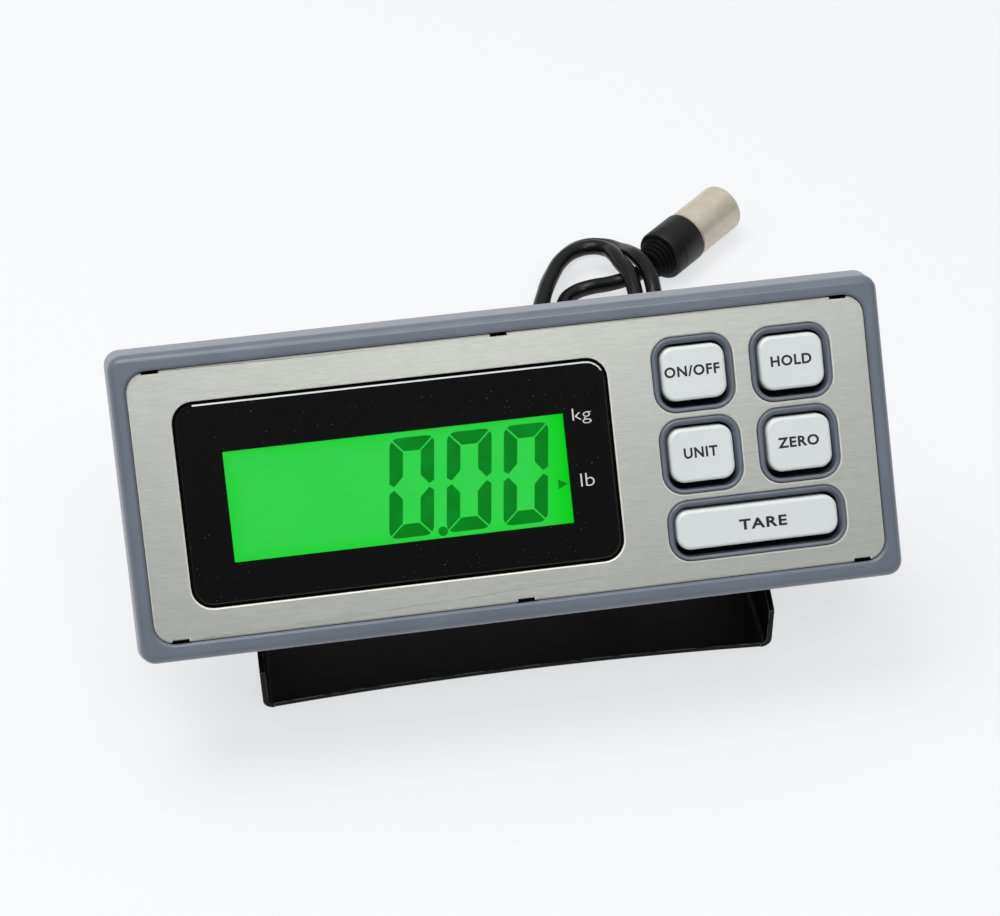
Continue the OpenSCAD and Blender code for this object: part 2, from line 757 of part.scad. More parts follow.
module bezel_outside() {
    hull($fn = hull_fn) {
        slab(case_grown_w, case_grown_h, case_corner_r, parting_z, parting_z + sheet);
        slab(case_w, case_h, case_corner_r, -edge_drop - sheet, -edge_drop);
        slab(case_w - edge_round / 2, case_h - edge_round / 2, case_corner_r, -edge_drop / 3 - sheet,
            -edge_drop / 3);
        slab(case_w - 2 * edge_round, case_h - 2 * edge_round, case_corner_r, -sheet, 0);
    }
}

// Opening for a key: straight well with a sloped mouth
module key_well(w, h) {
    well_w = w - 2 * well_inset;
    well_h = h - 2 * well_inset;
    mouth_w = w - 2 * collar_crest;
    mouth_h = h - 2 * collar_crest;
    slab(well_w, well_h, collar_corner_r - well_inset, panel_back_z - overrun, overrun);
    hull($fn = hull_fn) {
        slab(well_w, well_h, collar_corner_r - well_inset, plate_back_z, plate_back_z + sheet);
        slab(mouth_w, mouth_h, collar_corner_r - collar_crest, collar_top_z, collar_top_z + sheet);
    }
}

// Slot in the panel that a bent tab passes through
module tab_slot(side_y) {
    slot_low = plate_h / 2 - tab_notch - plate_t - slot_side;
    slot_high = plate_h / 2 + slot_show;
    slot_w = tab_w + 2 * slot_side;
    translate([-slot_w / 2, side_y > 0 ? slot_low : -slot_high, panel_back_z - overrun])
        cube([slot_w, slot_high - slot_low, -panel_back_z - plate_drop + overrun]);
}

// Rear cover: flat wings, lip, screw posts and the housing that carries the pivots
case_seat_z = cover_back_z + case_head_t;
module rear_cover() {
    color([0.36, 0.39, 0.44]) on_head() difference() {
        union() {
            difference() {
                hull($fn = hull_fn) {
                    slab(case_grown_w, case_grown_h, case_corner_r, parting_z - sheet, parting_z);
                    slab(case_grown_w - side_draft, case_grown_h - side_draft, case_corner_r,
                        parting_z - cover_d / 2, parting_z - cover_d / 2 + sheet);
                    slab(case_grown_w - 2 * cover_inset, case_grown_h - 2 * cover_inset,
                        case_corner_r, cover_back_z, cover_back_z + sheet);
                }
                slab(cavity_w - 2 * lip_t, cavity_h - 2 * lip_t, cavity_r, cover_inner_z, overrun);
            }
            difference() {
                slab(cavity_w - 2 * screw_gap, cavity_h - 2 * screw_gap, cavity_r, cover_inner_z,
                    parting_z + lip_h);
                slab(cavity_w - 2 * lip_t, cavity_h - 2 * lip_t, cavity_r, cover_inner_z - overrun, overrun);
                at_corners(case_screw_x, case_screw_y)
                    rod(case_boss_r + screw_gap, parting_z, overrun);
            }
            at_corners(case_screw_x, case_screw_y) rod(case_boss_r, cover_inner_z - sheet, parting_z);
            hull($fn = hull_fn) {
                slab(hump_w, hump_h, hump_corner_r, hump_back_z + hump_chamfer, cover_back_z);
                slab(hump_w - 2 * hump_chamfer, hump_h - 2 * hump_chamfer, hump_corner_r, hump_back_z,
                    hump_back_z + sheet);
            }
        }
        difference() {
            slab(hump_w - 2 * cover_wall, hump_h - 2 * cover_wall, hump_corner_r - cover_wall,
                hump_inner_z, overrun);
            pivot_bosses();
        }
        translate([0, 0, pivot_z]) both_sides() pivot_rod(insert_r, hump_w / 2 - insert_l, insert_l + overrun);
        at_corners(case_screw_x, case_screw_y) {
            rod(case_head_r + screw_gap, cover_back_z - overrun, case_seat_z);
            rod(case_screw_r + 2 * screw_gap, cover_back_z, overrun);
        }
        translate([outlet_x, outlet_y, 0])
            rod(relief_neck_r + bore_gap, hump_back_z - overrun, hump_inner_z + overrun);
    }
}

// Solid blocks in the housing that hold the brass inserts
module pivot_bosses() {
    boss_r = insert_r + cover_wall;
    translate([0, 0, pivot_z]) both_sides()
        translate([hump_w / 2 - insert_l - cover_wall, -boss_r, -hump_d])
            cube([insert_l + cover_wall, 2 * boss_r, hump_d + boss_r]);
}

// Brushed steel faceplate with its openings and six bent tabs
module faceplate() {
    color([0.74, 0.75, 0.72]) on_head() {
        difference() {
            slab(plate_w, plate_h, plate_corner_r, plate_back_z, plate_front_z);
            translate([window_x, window_y, 0])
                slab(window_w, window_h, window_corner_r, plate_back_z - overrun, overrun);
            for (place = key_places) translate([place[0], place[1], 0])
                slab(place[2] + 2 * collar_gap, place[3] + 2 * collar_gap, collar_corner_r + collar_gap,
                    plate_back_z - overrun, overrun);
            for (tab = [-tab_x, 0, tab_x], side_y = [-1, 1])
                translate([tab - tab_w / 2, side_y > 0 ? plate_h / 2 - tab_notch : -plate_h / 2 - overrun,
                    plate_back_z - overrun])
                    cube([tab_w, tab_notch + overrun, plate_t + 2 * overrun]);
        }
        for (tab = [-tab_x, 0, tab_x], side_y = [-1, 1])
            translate([tab - tab_w / 2, side_y > 0 ? plate_h / 2 - tab_notch - plate_t
                : -plate_h / 2 + tab_notch, panel_back_z - tab_reach])
                cube([tab_w, plate_t, plate_back_z - panel_back_z + tab_reach]);
    }
}

// Acrylic lens with a bevelled front
module window_lens() {
    color([0.05, 0.05, 0.06]) on_head() translate([window_x, window_y, 0]) {
        slab(lens_w, lens_h, lens_r, lens_back_z, lens_front_z - lens_bevel);
        hull($fn = hull_fn) {
            slab(lens_w, lens_h, lens_r, lens_front_z - lens_bevel - sheet, lens_front_z - lens_bevel);
            slab(lens_w - 2 * lens_bevel, lens_h - 2 * lens_bevel, lens_r - lens_bevel,
                lens_front_z - sheet, lens_front_z);
        }
    }
}

// Adhesive frame that seals the lens to the panel
module lens_tape() {
    color([0.12, 0.12, 0.12]) on_head() translate([window_x, window_y, 0]) difference() {
        slab(lens_w, lens_h, lens_r, lens_seat_z, lens_back_z);
        slab(lens_w - 2 * tape_w, lens_h - 2 * tape_w, lens_r - lens_bevel, lens_seat_z - overrun, overrun);
    }
}

// Front and rear display glass, with contact ledges above and below
module lcd_glass() {
    color([0.2, 0.8, 0.3]) on_head() translate([view_x, view_y, 0]) {
        slab(glass_w, glass_h, glass_gap, rear_glass_z, panel_back_z);
        slab(glass_w, glass_h - 2 * ledge_w, glass_gap, glass_back_z, rear_glass_z);
    }
}

// Frame that holds glass, light guide and contact strips on the board
module lcd_holder() {
    color([0.9, 0.9, 0.88]) on_head() translate([view_x, view_y, 0]) difference() {
        slab(holder_w, holder_h, glass_gap, board_front_z, panel_back_z);
        slab(glass_w + 2 * glass_gap, glass_h + 2 * glass_gap, glass_gap, glass_back_z, overrun);
        slab(guide_w + 2 * glass_gap, guide_h + 2 * glass_gap, glass_gap,
            board_front_z - overrun, overrun);
        for (side_y = [-1, 1]) translate([0, side_y * strip_y, 0])
            slab(strip_l + glass_gap, strip_w + glass_gap, glass_gap / 2, board_front_z - overrun, overrun);
        translate([lamp_x, 0, 0])
            slab(lamp_t + 2 * glass_gap, lamp_count * lamp_pitch, glass_gap,
                board_front_z - overrun, board_front_z + lamp_h + glass_gap);
    }
}

module diffuser_sheet() {
    color([0.95, 0.97, 0.95]) on_head() translate([view_x, view_y, 0])
        slab(guide_w, guide_h, glass_gap, guide_top_z, glass_back_z);
}

module light_guide() {
    color([0.8, 0.95, 0.8]) on_head() translate([view_x, view_y, 0])
        slab(guide_w, guide_h, glass_gap, guide_low_z, guide_top_z);
}

// Row of lamps at the right end of the light guide
module backlight_lamps() {
    color([0.3, 0.9, 0.3]) on_head() translate([view_x + lamp_x, view_y, 0])
        for (i = [0 : lamp_count - 1])
            translate([-lamp_t / 2, (i - (lamp_count - 1) / 2) * lamp_pitch - lamp_w / 2, board_front_z])
                cube([lamp_t, lamp_w, lamp_h]);
}

// Elastic strips that join the display's ledges to the board
module contact_strips() {
    color([0.85, 0.6, 0.65]) on_head() translate([view_x, view_y, 0])
        for (side_y = [-1, 1])
            translate([-strip_l / 2, side_y * strip_y - strip_w / 2, board_front_z])
                cube([strip_l, strip_w, rear_glass_z - board_front_z]);
}

module main_board() {
    color([0.1, 0.35, 0.18]) on_head() difference() {
        slab(board_w, board_h, glass_gap, board_back_z, board_front_z);
        at_board_screws() rod(board_screw_r + screw_gap, board_back_z - overrun, overrun);
    }
}

module controller_chip() {
    color([0.08, 0.08, 0.09]) on_head() translate([view_x, 0, board_back_z - chip_t]) {
        translate([-chip_w / 2, -chip_w / 2, 0]) cube([chip_w, chip_w, chip_t]);
        translate([-chip_w / 2 - chip_t, -chip_w / 3, chip_t / 2])
            cube([chip_w + 2 * chip_t, chip_w * 2 / 3, chip_t / 2]);
        translate([-chip_w / 3, -chip_w / 2 - chip_t, chip_t / 2])
            cube([chip_w * 2 / 3, chip_w + 2 * chip_t, chip_t / 2]);
    }
}

// Two storage capacitors and the crystal on the board's back
module board_parts() {
    color([0.6, 0.62, 0.64]) on_head() {
        for (side_y = [-1, 1])
            translate([0, side_y * 2 * capacitor_r, 0])
                rod(capacitor_r, board_back_z - capacitor_h, board_back_z);
        translate([view_x - crystal_l / 2, -chip_w - crystal_w, 0])
            slab(crystal_l, crystal_w, crystal_w / 3, board_back_z - crystal_h, board_back_z);
    }
}

// One switch body under each key, open at the top for its plunger
module switch_bodies() {
    color([0.15, 0.15, 0.16]) on_head() for (place = key_places)
        translate([place[0], place[1], 0]) difference() {
            translate([-switch_w / 2, -switch_w / 2, board_front_z]) cube([switch_w, switch_w, switch_h]);
            rod(plunger_r + plunger_gap, well_floor_z, overrun);
        }
}

module board_screws() {
    color([0.75, 0.75, 0.77]) on_head() at_board_screws() {
        rod(board_screw_r, board_back_z, board_back_z + board_screw_l);
        rod(board_head_r, board_back_z - board_head_t, board_back_z);
    }
}

module case_screws() {
    color([0.2, 0.2, 0.21]) on_head() at_corners(case_screw_x, case_screw_y) {
        rod(case_screw_r, case_seat_z, case_seat_z + case_screw_l);
        rod(case_head_r, case_seat_z - case_head_t, case_seat_z);
    }
}

// Hollow key cap with a tapered top, a holding flange and a post
module key_cap(place) {
    cap_w = place[2] - 2 * well_inset - 2 * key_gap;
    cap_h = place[3] - 2 * well_inset - 2 * key_gap;
    cap_r = collar_corner_r - well_inset - key_gap;
    flange_top_z = panel_back_z - flange_gap;
    roof_z = key_proud - key_taper_d;
    color([0.86, 0.88, 0.88]) on_head() translate([place[0], place[1], 0]) {
        difference() {
            union() {
                slab(cap_w, cap_h, cap_r, flange_top_z, roof_z);
                hull($fn = hull_fn) {
                    slab(cap_w, cap_h, cap_r, roof_z - sheet, roof_z);
                    slab(cap_w - key_taper, cap_h - key_taper, cap_r, key_proud - key_taper_d / 3,
                        key_proud - key_taper_d / 3 + sheet);
                    slab(cap_w - 2 * key_taper, cap_h - 2 * key_taper, cap_r, key_proud - sheet, key_proud);
                }
                slab(cap_w + 2 * (key_gap + flange_lip), cap_h + 2 * (key_gap + flange_lip), cap_r,
                    flange_top_z - flange_t, flange_top_z);
            }
            slab(cap_w - 2 * key_wall, cap_h - 2 * key_wall, cap_r / 2,
                flange_top_z - flange_t - overrun, roof_z - key_wall / 3);
        }
        rod(post_r, plunger_top_z, roof_z);
    }
}

module key_on_off() { key_cap(key_places[0]); }
module key_hold() { key_cap(key_places[1]); }
module key_unit() { key_cap(key_places[2]); }
module key_zero() { key_cap(key_places[3]); }
module key_tare() { key_cap(key_places[4]); }

module plunger(place) {
    color([0.9, 0.85, 0.7]) on_head() translate([place[0], place[1], 0])
        rod(plunger_r, plunger_low_z, plunger_top_z);
}

module plunger_on_off() { plunger(key_places[0]); }
module plunger_hold() { plunger(key_places[1]); }
module plunger_unit() { plunger(key_places[2]); }
module plunger_zero() { plunger(key_places[3]); }
module plunger_tare() { plunger(key_places[4]); }

// Threaded brass sleeves pressed into the housing's sides
module pivot_inserts() {
    color([0.78, 0.62, 0.3]) on_head() translate([0, 0, pivot_z]) both_sides() difference() {
        pivot_rod(insert_r, hump_w / 2 - insert_l, insert_l);
        pivot_rod(stud_r + stud_gap, hump_w / 2 - insert_l - overrun, insert_l + 2 * overrun);
    }
}

module pivot_washers() {
    color([0.1, 0.1, 0.1]) on_head() translate([0, 0, pivot_z]) both_sides() difference() {
        pivot_rod(washer_r, hump_w / 2, washer_t);
        pivot_rod(ear_hole_r, hump_w / 2 - overrun, washer_t + 2 * overrun);
    }
}

// Fluted thumb knob on the right, with a hole for its stud
module knob() {
    color([0.07, 0.07, 0.075]) translate([0, 0, pivot_h]) difference() {
        union() {
            pivot_rod(knob_collar_r, knob_x, knob_collar_t);
            pivot_rod(knob_r, knob_x + knob_collar_t, knob_t);
        }
        pivot_rod(stud_r, knob_x - overrun, knob_collar_t + knob_t / 2 + overrun);
        for (i = [0 : knob_flutes - 1]) rotate([360 * i / knob_flutes, 0, 0])
            translate([0, 0, knob_r]) pivot_rod(flute_r, knob_x + knob_collar_t - overrun,
                knob_t + 2 * overrun);
    }
}

module stud() {
    color([0.7, 0.71, 0.73]) translate([0, 0, pivot_h])
        pivot_rod(stud_r, knob_x + knob_collar_t + knob_t / 2 - stud_l, stud_l);
}

module knob_left() { mirror([1, 0, 0]) knob(); }
module knob_right() { knob(); }
module stud_left() { mirror([1, 0, 0]) stud(); }
module stud_right() { stud(); }

// Socket on the board, straight in front of the cable's outlet
module board_socket() {
    color([0.92, 0.9, 0.85]) on_head() translate([outlet_x, outlet_y, board_back_z - socket_t])
        translate([-harness_w / 2 - key_wall, -harness_h / 2 - key_wall, 0])
            cube([harness_w + 2 * key_wall, harness_h + 2 * key_wall, socket_t]);
}

module harness_plug() {
    color([0.95, 0.94, 0.9]) on_head()
        translate([outlet_x - harness_w / 2, outlet_y - harness_h / 2, harness_back_z])
            cube([harness_w, harness_h, harness_l]);
}

harness_back_z = board_back_z - socket_t - harness_l;
cable_inner_z = harness_back_z - wire_l;
module harness_wires() {
    color([0.8, 0.2, 0.15]) on_head() translate([outlet_x, outlet_y, 0])
        for (i = [0 : wire_count - 1])
            rotate([0, 0, 360 * i / wire_count]) translate([cable_r - 2 * wire_r, 0, 0])
                rod(wire_r, cable_inner_z, harness_back_z);
}

module inner_cable() {
    color([0.05, 0.05, 0.055]) on_head() translate([outlet_x, outlet_y, 0])
        rod(cable_r, relief_tip_z, cable_inner_z);
}

// Tapered strain relief, held in the housing's wall between two flanges
module strain_relief() {
    color([0.06, 0.06, 0.065]) on_head() translate([outlet_x, outlet_y, 0]) rotate_extrude()
        polygon([
            [cable_r + bore_gap, relief_tip_z], [relief_tip_r, relief_tip_z],
            [relief_root_r, hump_back_z - relief_flange_t], [relief_flange_r, hump_back_z - relief_flange_t],
            [relief_flange_r, hump_back_z], [relief_neck_r, hump_back_z],
            [relief_neck_r, hump_inner_z], [relief_flange_r, hump_inner_z],
            [relief_flange_r, hump_inner_z + relief_flange_t],
            [cable_r + bore_gap, hump_inner_z + relief_flange_t]
        ]);
}

module cable_lead() {
    color([0.05, 0.05, 0.055]) tube(lead_line, cable_r, tube_sides);
}

module cable_coil() {
    color([0.05, 0.05, 0.055]) tube(coil_line, cable_r, coil_sides);
}

module cable_tail() {
    color([0.05, 0.05, 0.055]) tube(tail_line, cable_r, tube_sides);
}

// Turns a profile drawn along Z into the plug's direction on the table
module on_plug() {
    translate(plug_start) rotate([0, 0, plug_turn]) rotate([0, 90, 0]) children();
}

bushing_end = boot_l + bushing_l;
shell_end = bushing_end + shell_l;
module plug_boot() {
    groove_pitch = boot_l / (boot_grooves + 2);
    color([0.05, 0.05, 0.055]) on_plug() difference() {
        cylinder(r1 = boot_tip_r, r2 = boot_root_r, h = boot_l);
        rod(cable_r + bore_gap, -overrun, boot_l + overrun);
        for (i = [1 : boot_grooves]) translate([0, 0, (i + 1) * groove_pitch - groove_w])
            boot_groove((i + 1) * groove_pitch / boot_l);
    }
}

// Ring cut round the boot at a share of its length
module boot_groove(share) {
    floor_r = boot_tip_r + (boot_root_r - boot_tip_r) * share - groove_d;
    difference() {
        cylinder(r = bushing_r, h = groove_w);
        translate([0, 0, -overrun]) cylinder(r = floor_r, h = groove_w + 2 * overrun);
    }
}

module plug_bushing() {
    color([0.07, 0.07, 0.075]) on_plug() {
        rod(bushing_r, boot_l, bushing_end);
        rod(shell_r - shell_wall, bushing_end, bushing_end + shell_wall);
    }
}

// Metal nose of the plug, with a rounded front edge
module plug_shell() {
    color([0.72, 0.69, 0.6]) on_plug() difference() {
        union() {
            rod(shell_r - shell_step_d, bushing_end, bushing_end + shell_step_l);
            rod(shell_r, bushing_end + shell_step_l, shell_end - shell_round);
            rotate_extrude() {
                translate([shell_r - shell_round, shell_end - shell_round]) intersection() {
                    circle(r = shell_round);
                    square(shell_round);
                }
                translate([0, shell_end - shell_round]) square([shell_r - shell_round, shell_round]);
            }
        }
        rod(shell_r - shell_wall, bushing_end - overrun, shell_end + overrun);
    }
}

core_back = bushing_end + shell_wall;
core_front = shell_end - core_drop;

// Places the contacts evenly on their ring
module at_contacts() {
    for (i = [0 : pin_count - 1]) rotate([0, 0, 360 * (i + 1 / 2) / pin_count])
        translate([pin_ring_r, 0, 0]) children();
}

module plug_core() {
    color([0.08, 0.08, 0.08]) on_plug() difference() {
        rod(shell_r - shell_wall, core_back, core_front);
        at_contacts() rod(pin_r, core_back + core_drop, core_front + overrun);
    }
}

// Brass sleeves that line the contact holes
module plug_contacts() {
    color([0.85, 0.7, 0.35]) on_plug() at_contacts() difference() {
        rod(pin_r, core_back + core_drop, core_front);
        rod(pin_r - sleeve_wall, core_back + 2 * core_drop, core_front + overrun);
    }
}

stand_bracket();
front_bezel();
rear_cover();
faceplate();
window_lens();
lens_tape();
lcd_glass();
lcd_holder();
diffuser_sheet();
light_guide();
backlight_lamps();
contact_strips();
main_board();
controller_chip();
board_parts();
switch_bodies();
board_screws();
case_screws();
key_on_off();
key_hold();
key_unit();
key_zero();
key_tare();
plunger_on_off();
plunger_hold();
plunger_unit();
plunger_zero();
plunger_tare();
pivot_inserts();
pivot_washers();
knob_left();
knob_right();
stud_left();
stud_right();
board_socket();
harness_plug();
harness_wires();
inner_cable();
strain_relief();
cable_lead();
cable_coil();
cable_tail();
plug_boot();
plug_bushing();
plug_shell();
plug_core();
plug_contacts();
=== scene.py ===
"""Looks, camera, stage and free cable of the remote display indicator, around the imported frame."""
import json
import logging
import math
from dataclasses import dataclass, replace
from enum import Enum
from typing import Sequence

import bmesh
import bpy
from mathutils import Matrix, Vector


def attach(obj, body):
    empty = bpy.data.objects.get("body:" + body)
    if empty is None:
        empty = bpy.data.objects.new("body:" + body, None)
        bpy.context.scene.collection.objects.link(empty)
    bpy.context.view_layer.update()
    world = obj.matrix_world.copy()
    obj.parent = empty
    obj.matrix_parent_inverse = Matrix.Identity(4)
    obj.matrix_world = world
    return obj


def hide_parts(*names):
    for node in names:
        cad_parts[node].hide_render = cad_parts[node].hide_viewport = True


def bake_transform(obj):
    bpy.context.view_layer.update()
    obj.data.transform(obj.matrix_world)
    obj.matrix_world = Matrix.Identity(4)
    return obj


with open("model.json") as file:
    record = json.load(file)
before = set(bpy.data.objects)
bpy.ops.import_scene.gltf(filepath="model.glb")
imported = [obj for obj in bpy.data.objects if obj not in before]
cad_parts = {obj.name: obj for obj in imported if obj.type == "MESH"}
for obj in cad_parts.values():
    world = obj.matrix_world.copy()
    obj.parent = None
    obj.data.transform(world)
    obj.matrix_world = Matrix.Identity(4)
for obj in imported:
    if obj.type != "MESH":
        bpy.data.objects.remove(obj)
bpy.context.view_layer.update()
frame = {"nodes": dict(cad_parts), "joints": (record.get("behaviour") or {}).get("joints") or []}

LOG = logging.getLogger("indicator")
Colour = tuple[float, float, float]
Point = tuple[float, float, float]
Spot = tuple[float, float]
Band = tuple[float, float]

HEAD_TILT = math.radians(40)
PIVOT_DEPTH = 0.032
TILT_JOINT = next(joint for joint in frame["joints"] if joint["name"] == "head_tilt")
HEAD = (
    Matrix.Translation(TILT_JOINT["pos_m"])
    @ Matrix.Rotation(math.pi / 2 - HEAD_TILT, 4, "X")
    @ Matrix.Translation((0, 0, PIVOT_DEPTH))
)
# Points closer than MERGE are one, and HAIR keeps neighbouring outlines off one plane.
MERGE = 1e-6
HAIR = 0.00003
SMALLEST_CORNER = 0.0001
SHARP_ANGLE = math.radians(32)
FLAT_ANGLE = math.radians(0.3)
OVERRUN = 0.001
ROUND_STEPS = 6
WORN = "worn"
DISPLAY_WHITE = 255
DISPLAY_GAMMA = 2.2
MIX_FIRST, MIX_SECOND, MIX_RESULT = 6, 7, 2


class Body(Enum):
    """The CAD bodies that pieces ride on."""

    STAND = "stand"
    HEAD = "head"
    KNOB_LEFT = "knob_left"
    KNOB_RIGHT = "knob_right"
    KEY_ON_OFF = "key_on_off"
    KEY_HOLD = "key_hold"
    KEY_UNIT = "key_unit"
    KEY_ZERO = "key_zero"
    KEY_TARE = "key_tare"


class Slot(Enum):
    """The record's material slots, named with each new piece but not given to it."""

    CASING = "casing"
    STEEL_FACE = "steel_face"
    LENS = "lens"
    DISPLAY = "display"
    KEY = "key"
    STAND = "stand"
    KNOB = "knob"
    CABLE = "cable"
    PLUG_RUBBER = "plug_rubber"
    NICKEL = "nickel"


@dataclass(frozen=True)
class Extent:
    """Lowest and highest corner of a CAD node, measured along the head's own directions."""

    low: Vector
    high: Vector

    @property
    def width(self) -> float:
        """Size from left to right."""
        return self.high.x - self.low.x

    @property
    def height(self) -> float:
        """Size up the face."""
        return self.high.y - self.low.y

    @property
    def centre(self) -> Spot:
        """Middle on the face."""
        return ((self.low.x + self.high.x) / 2, (self.low.y + self.high.y) / 2)


def head_extent(node: str) -> Extent:
    """Measures a CAD node in the head's frame.

    Args:
        node: Name of the CAD node.

    Returns:
        Its extent, with z as the height over the casing's crest.
    """
    to_head = HEAD.inverted()
    corners = [to_head @ vertex.co for vertex in frame["nodes"][node].data.vertices]
    low = Vector([min(corner[axis] for corner in corners) for axis in range(3)])
    high = Vector([max(corner[axis] for corner in corners) for axis in range(3)])
    return Extent(low, high)


class Sock:
    """A shader socket that takes part in Python expressions."""

    def __init__(self, tree: "Tree", socket: bpy.types.NodeSocket) -> None:
        """Wraps one output socket of a tree."""
        self.tree = tree
        self.socket = socket

    def maths(self, operation: str, first: "Sock | float", second: "Sock | float" = 0.0) -> "Sock":
        """Adds a Math node.

        Args:
            operation: The Math node's operation.
            first: Its first value.
            second: Its second value.

        Returns:
            The node's value.
        """
        values = {0: first, 1: second}
        return self.tree.add("ShaderNodeMath", {"operation": operation}, values).out()

    def __add__(self, other: "Sock | float") -> "Sock":
        """Sum."""
        return self.maths("ADD", self, other)

    def __radd__(self, other: float) -> "Sock":
        """Sum with a number on the left."""
        return self.maths("ADD", other, self)

    def __sub__(self, other: "Sock | float") -> "Sock":
        """Difference."""
        return self.maths("SUBTRACT", self, other)

    def __rsub__(self, other: float) -> "Sock":
        """Difference with a number on the left."""
        return self.maths("SUBTRACT", other, self)

    def __mul__(self, other: "Sock | float") -> "Sock":
        """Product."""
        return self.maths("MULTIPLY", self, other)

    def __rmul__(self, other: float) -> "Sock":
        """Product with a number on the left."""
        return self.maths("MULTIPLY", other, self)

    def __truediv__(self, other: "Sock | float") -> "Sock":
        """Quotient."""
        return self.maths("DIVIDE", self, other)

    def __rtruediv__(self, other: float) -> "Sock":
        """Quotient with a number on the left."""
        return self.maths("DIVIDE", other, self)

    def __abs__(self) -> "Sock":
        """Size without its sign."""
        return self.maths("ABSOLUTE", self)

    def least(self, other: "Sock | float") -> "Sock":
        """The smaller of two values."""
        return self.maths("MINIMUM", self, other)

    def most(self, other: "Sock | float") -> "Sock":
        """The larger of two values."""
        return self.maths("MAXIMUM", self, other)

    def band(self, low: float, high: float) -> "Sock":
        """Maps low to nought and high to one, smoothly and without overrun."""
        values = {"Value": self, "From Min": low, "From Max": high}
        settings = {"interpolation_type": "SMOOTHSTEP"}
        return self.tree.add("ShaderNodeMapRange", settings, values).out()


class Made:
    """A node that a tree has just added."""

    def __init__(self, tree: "Tree", node: bpy.types.Node) -> None:
        """Keeps the node with its tree."""
        self.tree = tree
        self.node = node

    def out(self, name: str | int = 0) -> Sock:
        """Gives one of the node's outputs."""
        return Sock(self.tree, self.node.outputs[name])


class Tree:
    """A node tree with one way to add nodes."""

    def __init__(self, node_tree: bpy.types.NodeTree) -> None:
        """Empties the tree it is given."""
        self.node_tree = node_tree
        node_tree.nodes.clear()

    def add(self, kind: str, settings: dict | None = None, inputs: dict | None = None) -> Made:
        """Adds a node.

        Args:
            kind: The node's type.
            settings: Its settings, which are made first.
            inputs: Values or links of its sockets, by name or number.

        Returns:
            The node.
        """
        node = self.node_tree.nodes.new(kind)
        for name, value in (settings or {}).items():
            setattr(node, name, value)
        for name, value in (inputs or {}).items():
            if isinstance(value, Sock):
                self.node_tree.links.new(value.socket, node.inputs[name])
            else:
                node.inputs[name].default_value = value
        return Made(self, node)

    def stretched(self, scale: Point) -> Sock:
        """Object coordinates with a scale along each direction.

        Args:
            scale: The three scales.

        Returns:
            The coordinates.
        """
        coords = self.add("ShaderNodeTexCoord").out("Object")
        values = {"Vector": coords, "Scale": scale}
        return self.add("ShaderNodeMapping", {"vector_type": "POINT"}, values).out()

    def noise(self, size: float, detail: float = 2.0, where: Sock | None = None) -> Sock:
        """Adds noise.

        Args:
            size: Size of its bumps in metres.
            detail: How many finer layers it has.
            where: The coordinates that it reads, else the object's own.

        Returns:
            The noise, from nought to one.
        """
        vector = where or self.add("ShaderNodeTexCoord").out("Object")
        values = {"Vector": vector, "Scale": 1 / size, "Detail": detail}
        return self.add("ShaderNodeTexNoise", {}, values).out()

    def blend(self, mask: Sock | float, first: Colour | Sock, second: Colour | Sock) -> Sock:
        """Mixes two colours by a mask, through the sockets that a Mix node keeps for colours."""
        values = {0: mask, MIX_FIRST: self._rgba(first), MIX_SECOND: self._rgba(second)}
        return self.add("ShaderNodeMix", {"data_type": "RGBA"}, values).out(MIX_RESULT)

    @staticmethod
    def _rgba(colour: Colour | Sock) -> tuple[float, ...] | Sock:
        """Adds the fourth value that a colour socket needs."""
        return colour if isinstance(colour, Sock) else (*colour, 1.0)

    def bump(self, height: Sock, depth: float) -> Sock:
        """Turns a height into a normal, with its depth in metres."""
        values = {"Height": height, "Strength": 1.0, "Distance": depth}
        return self.add("ShaderNodeBump", {}, values).out()


def srgb(red: int, green: int, blue: int) -> Colour:
    """Turns a display colour of 0 to 255 into linear light."""
    return tuple((value / DISPLAY_WHITE) ** DISPLAY_GAMMA for value in (red, green, blue))


@dataclass(frozen=True)
class Finish:
    """What every finish shares: a name and one material."""

    name: str

    def material(self) -> bpy.types.Material:
        """Makes the finish's material once, and hands it out."""
        known = bpy.data.materials.get(self.name)
        if known is not None:
            return known
        made = bpy.data.materials.new(self.name)
        made.use_nodes = True
        tree = Tree(made.node_tree)
        shader = tree.add("ShaderNodeBsdfPrincipled", {}, self.sockets(tree))
        tree.add("ShaderNodeOutputMaterial", {}, {"Surface": shader.out()})
        return made

    def sockets(self, tree: Tree) -> dict:
        """Gives the shader's values. Each finish has its own."""
        raise NotImplementedError


@dataclass(frozen=True)
class Moulded(Finish):
    """Moulded plastic or rubber: fine spark grain, faint mottling and a few specks of dust."""

    colour: Colour
    roughness: float = 0.42
    grain: float = 0.00035
    depth: float = 0.000012
    mottle: float = 0.08
    dust: float = 0.0
    specular: float = 0.5
    cloud_size: float = 0.02
    cloud_share: float = 0.7
    colour_band: Band = (0.3, 0.7)
    gloss_swing: float = 0.12
    speck_size: float = 0.0007
    speck_band: Band = (0.72, 0.78)
    speck_colour: Colour = (0.45, 0.44, 0.42)

    def sockets(self, tree: Tree) -> dict:
        """Grain in the normal, cloudy colour and uneven gloss."""
        cloud = tree.noise(self.cloud_size, detail=3.0)
        fine = tree.noise(self.grain, detail=2.0)
        low = tuple(value * (1 - self.mottle) for value in self.colour)
        high = tuple(min(1.0, value * (1 + self.mottle)) for value in self.colour)
        mixed = cloud * self.cloud_share + fine * (1 - self.cloud_share)
        colour = tree.blend(mixed.band(*self.colour_band), low, high)
        if self.dust:
            specks = tree.noise(self.speck_size, detail=1.0).band(*self.speck_band) * self.dust
            colour = tree.blend(specks, colour, self.speck_colour)
        return {
            "Base Color": colour,
            "Roughness": self.roughness + (cloud - 0.5) * self.gloss_swing,
            "Specular IOR Level": self.specular,
            "Normal": tree.bump(fine, self.depth),
        }


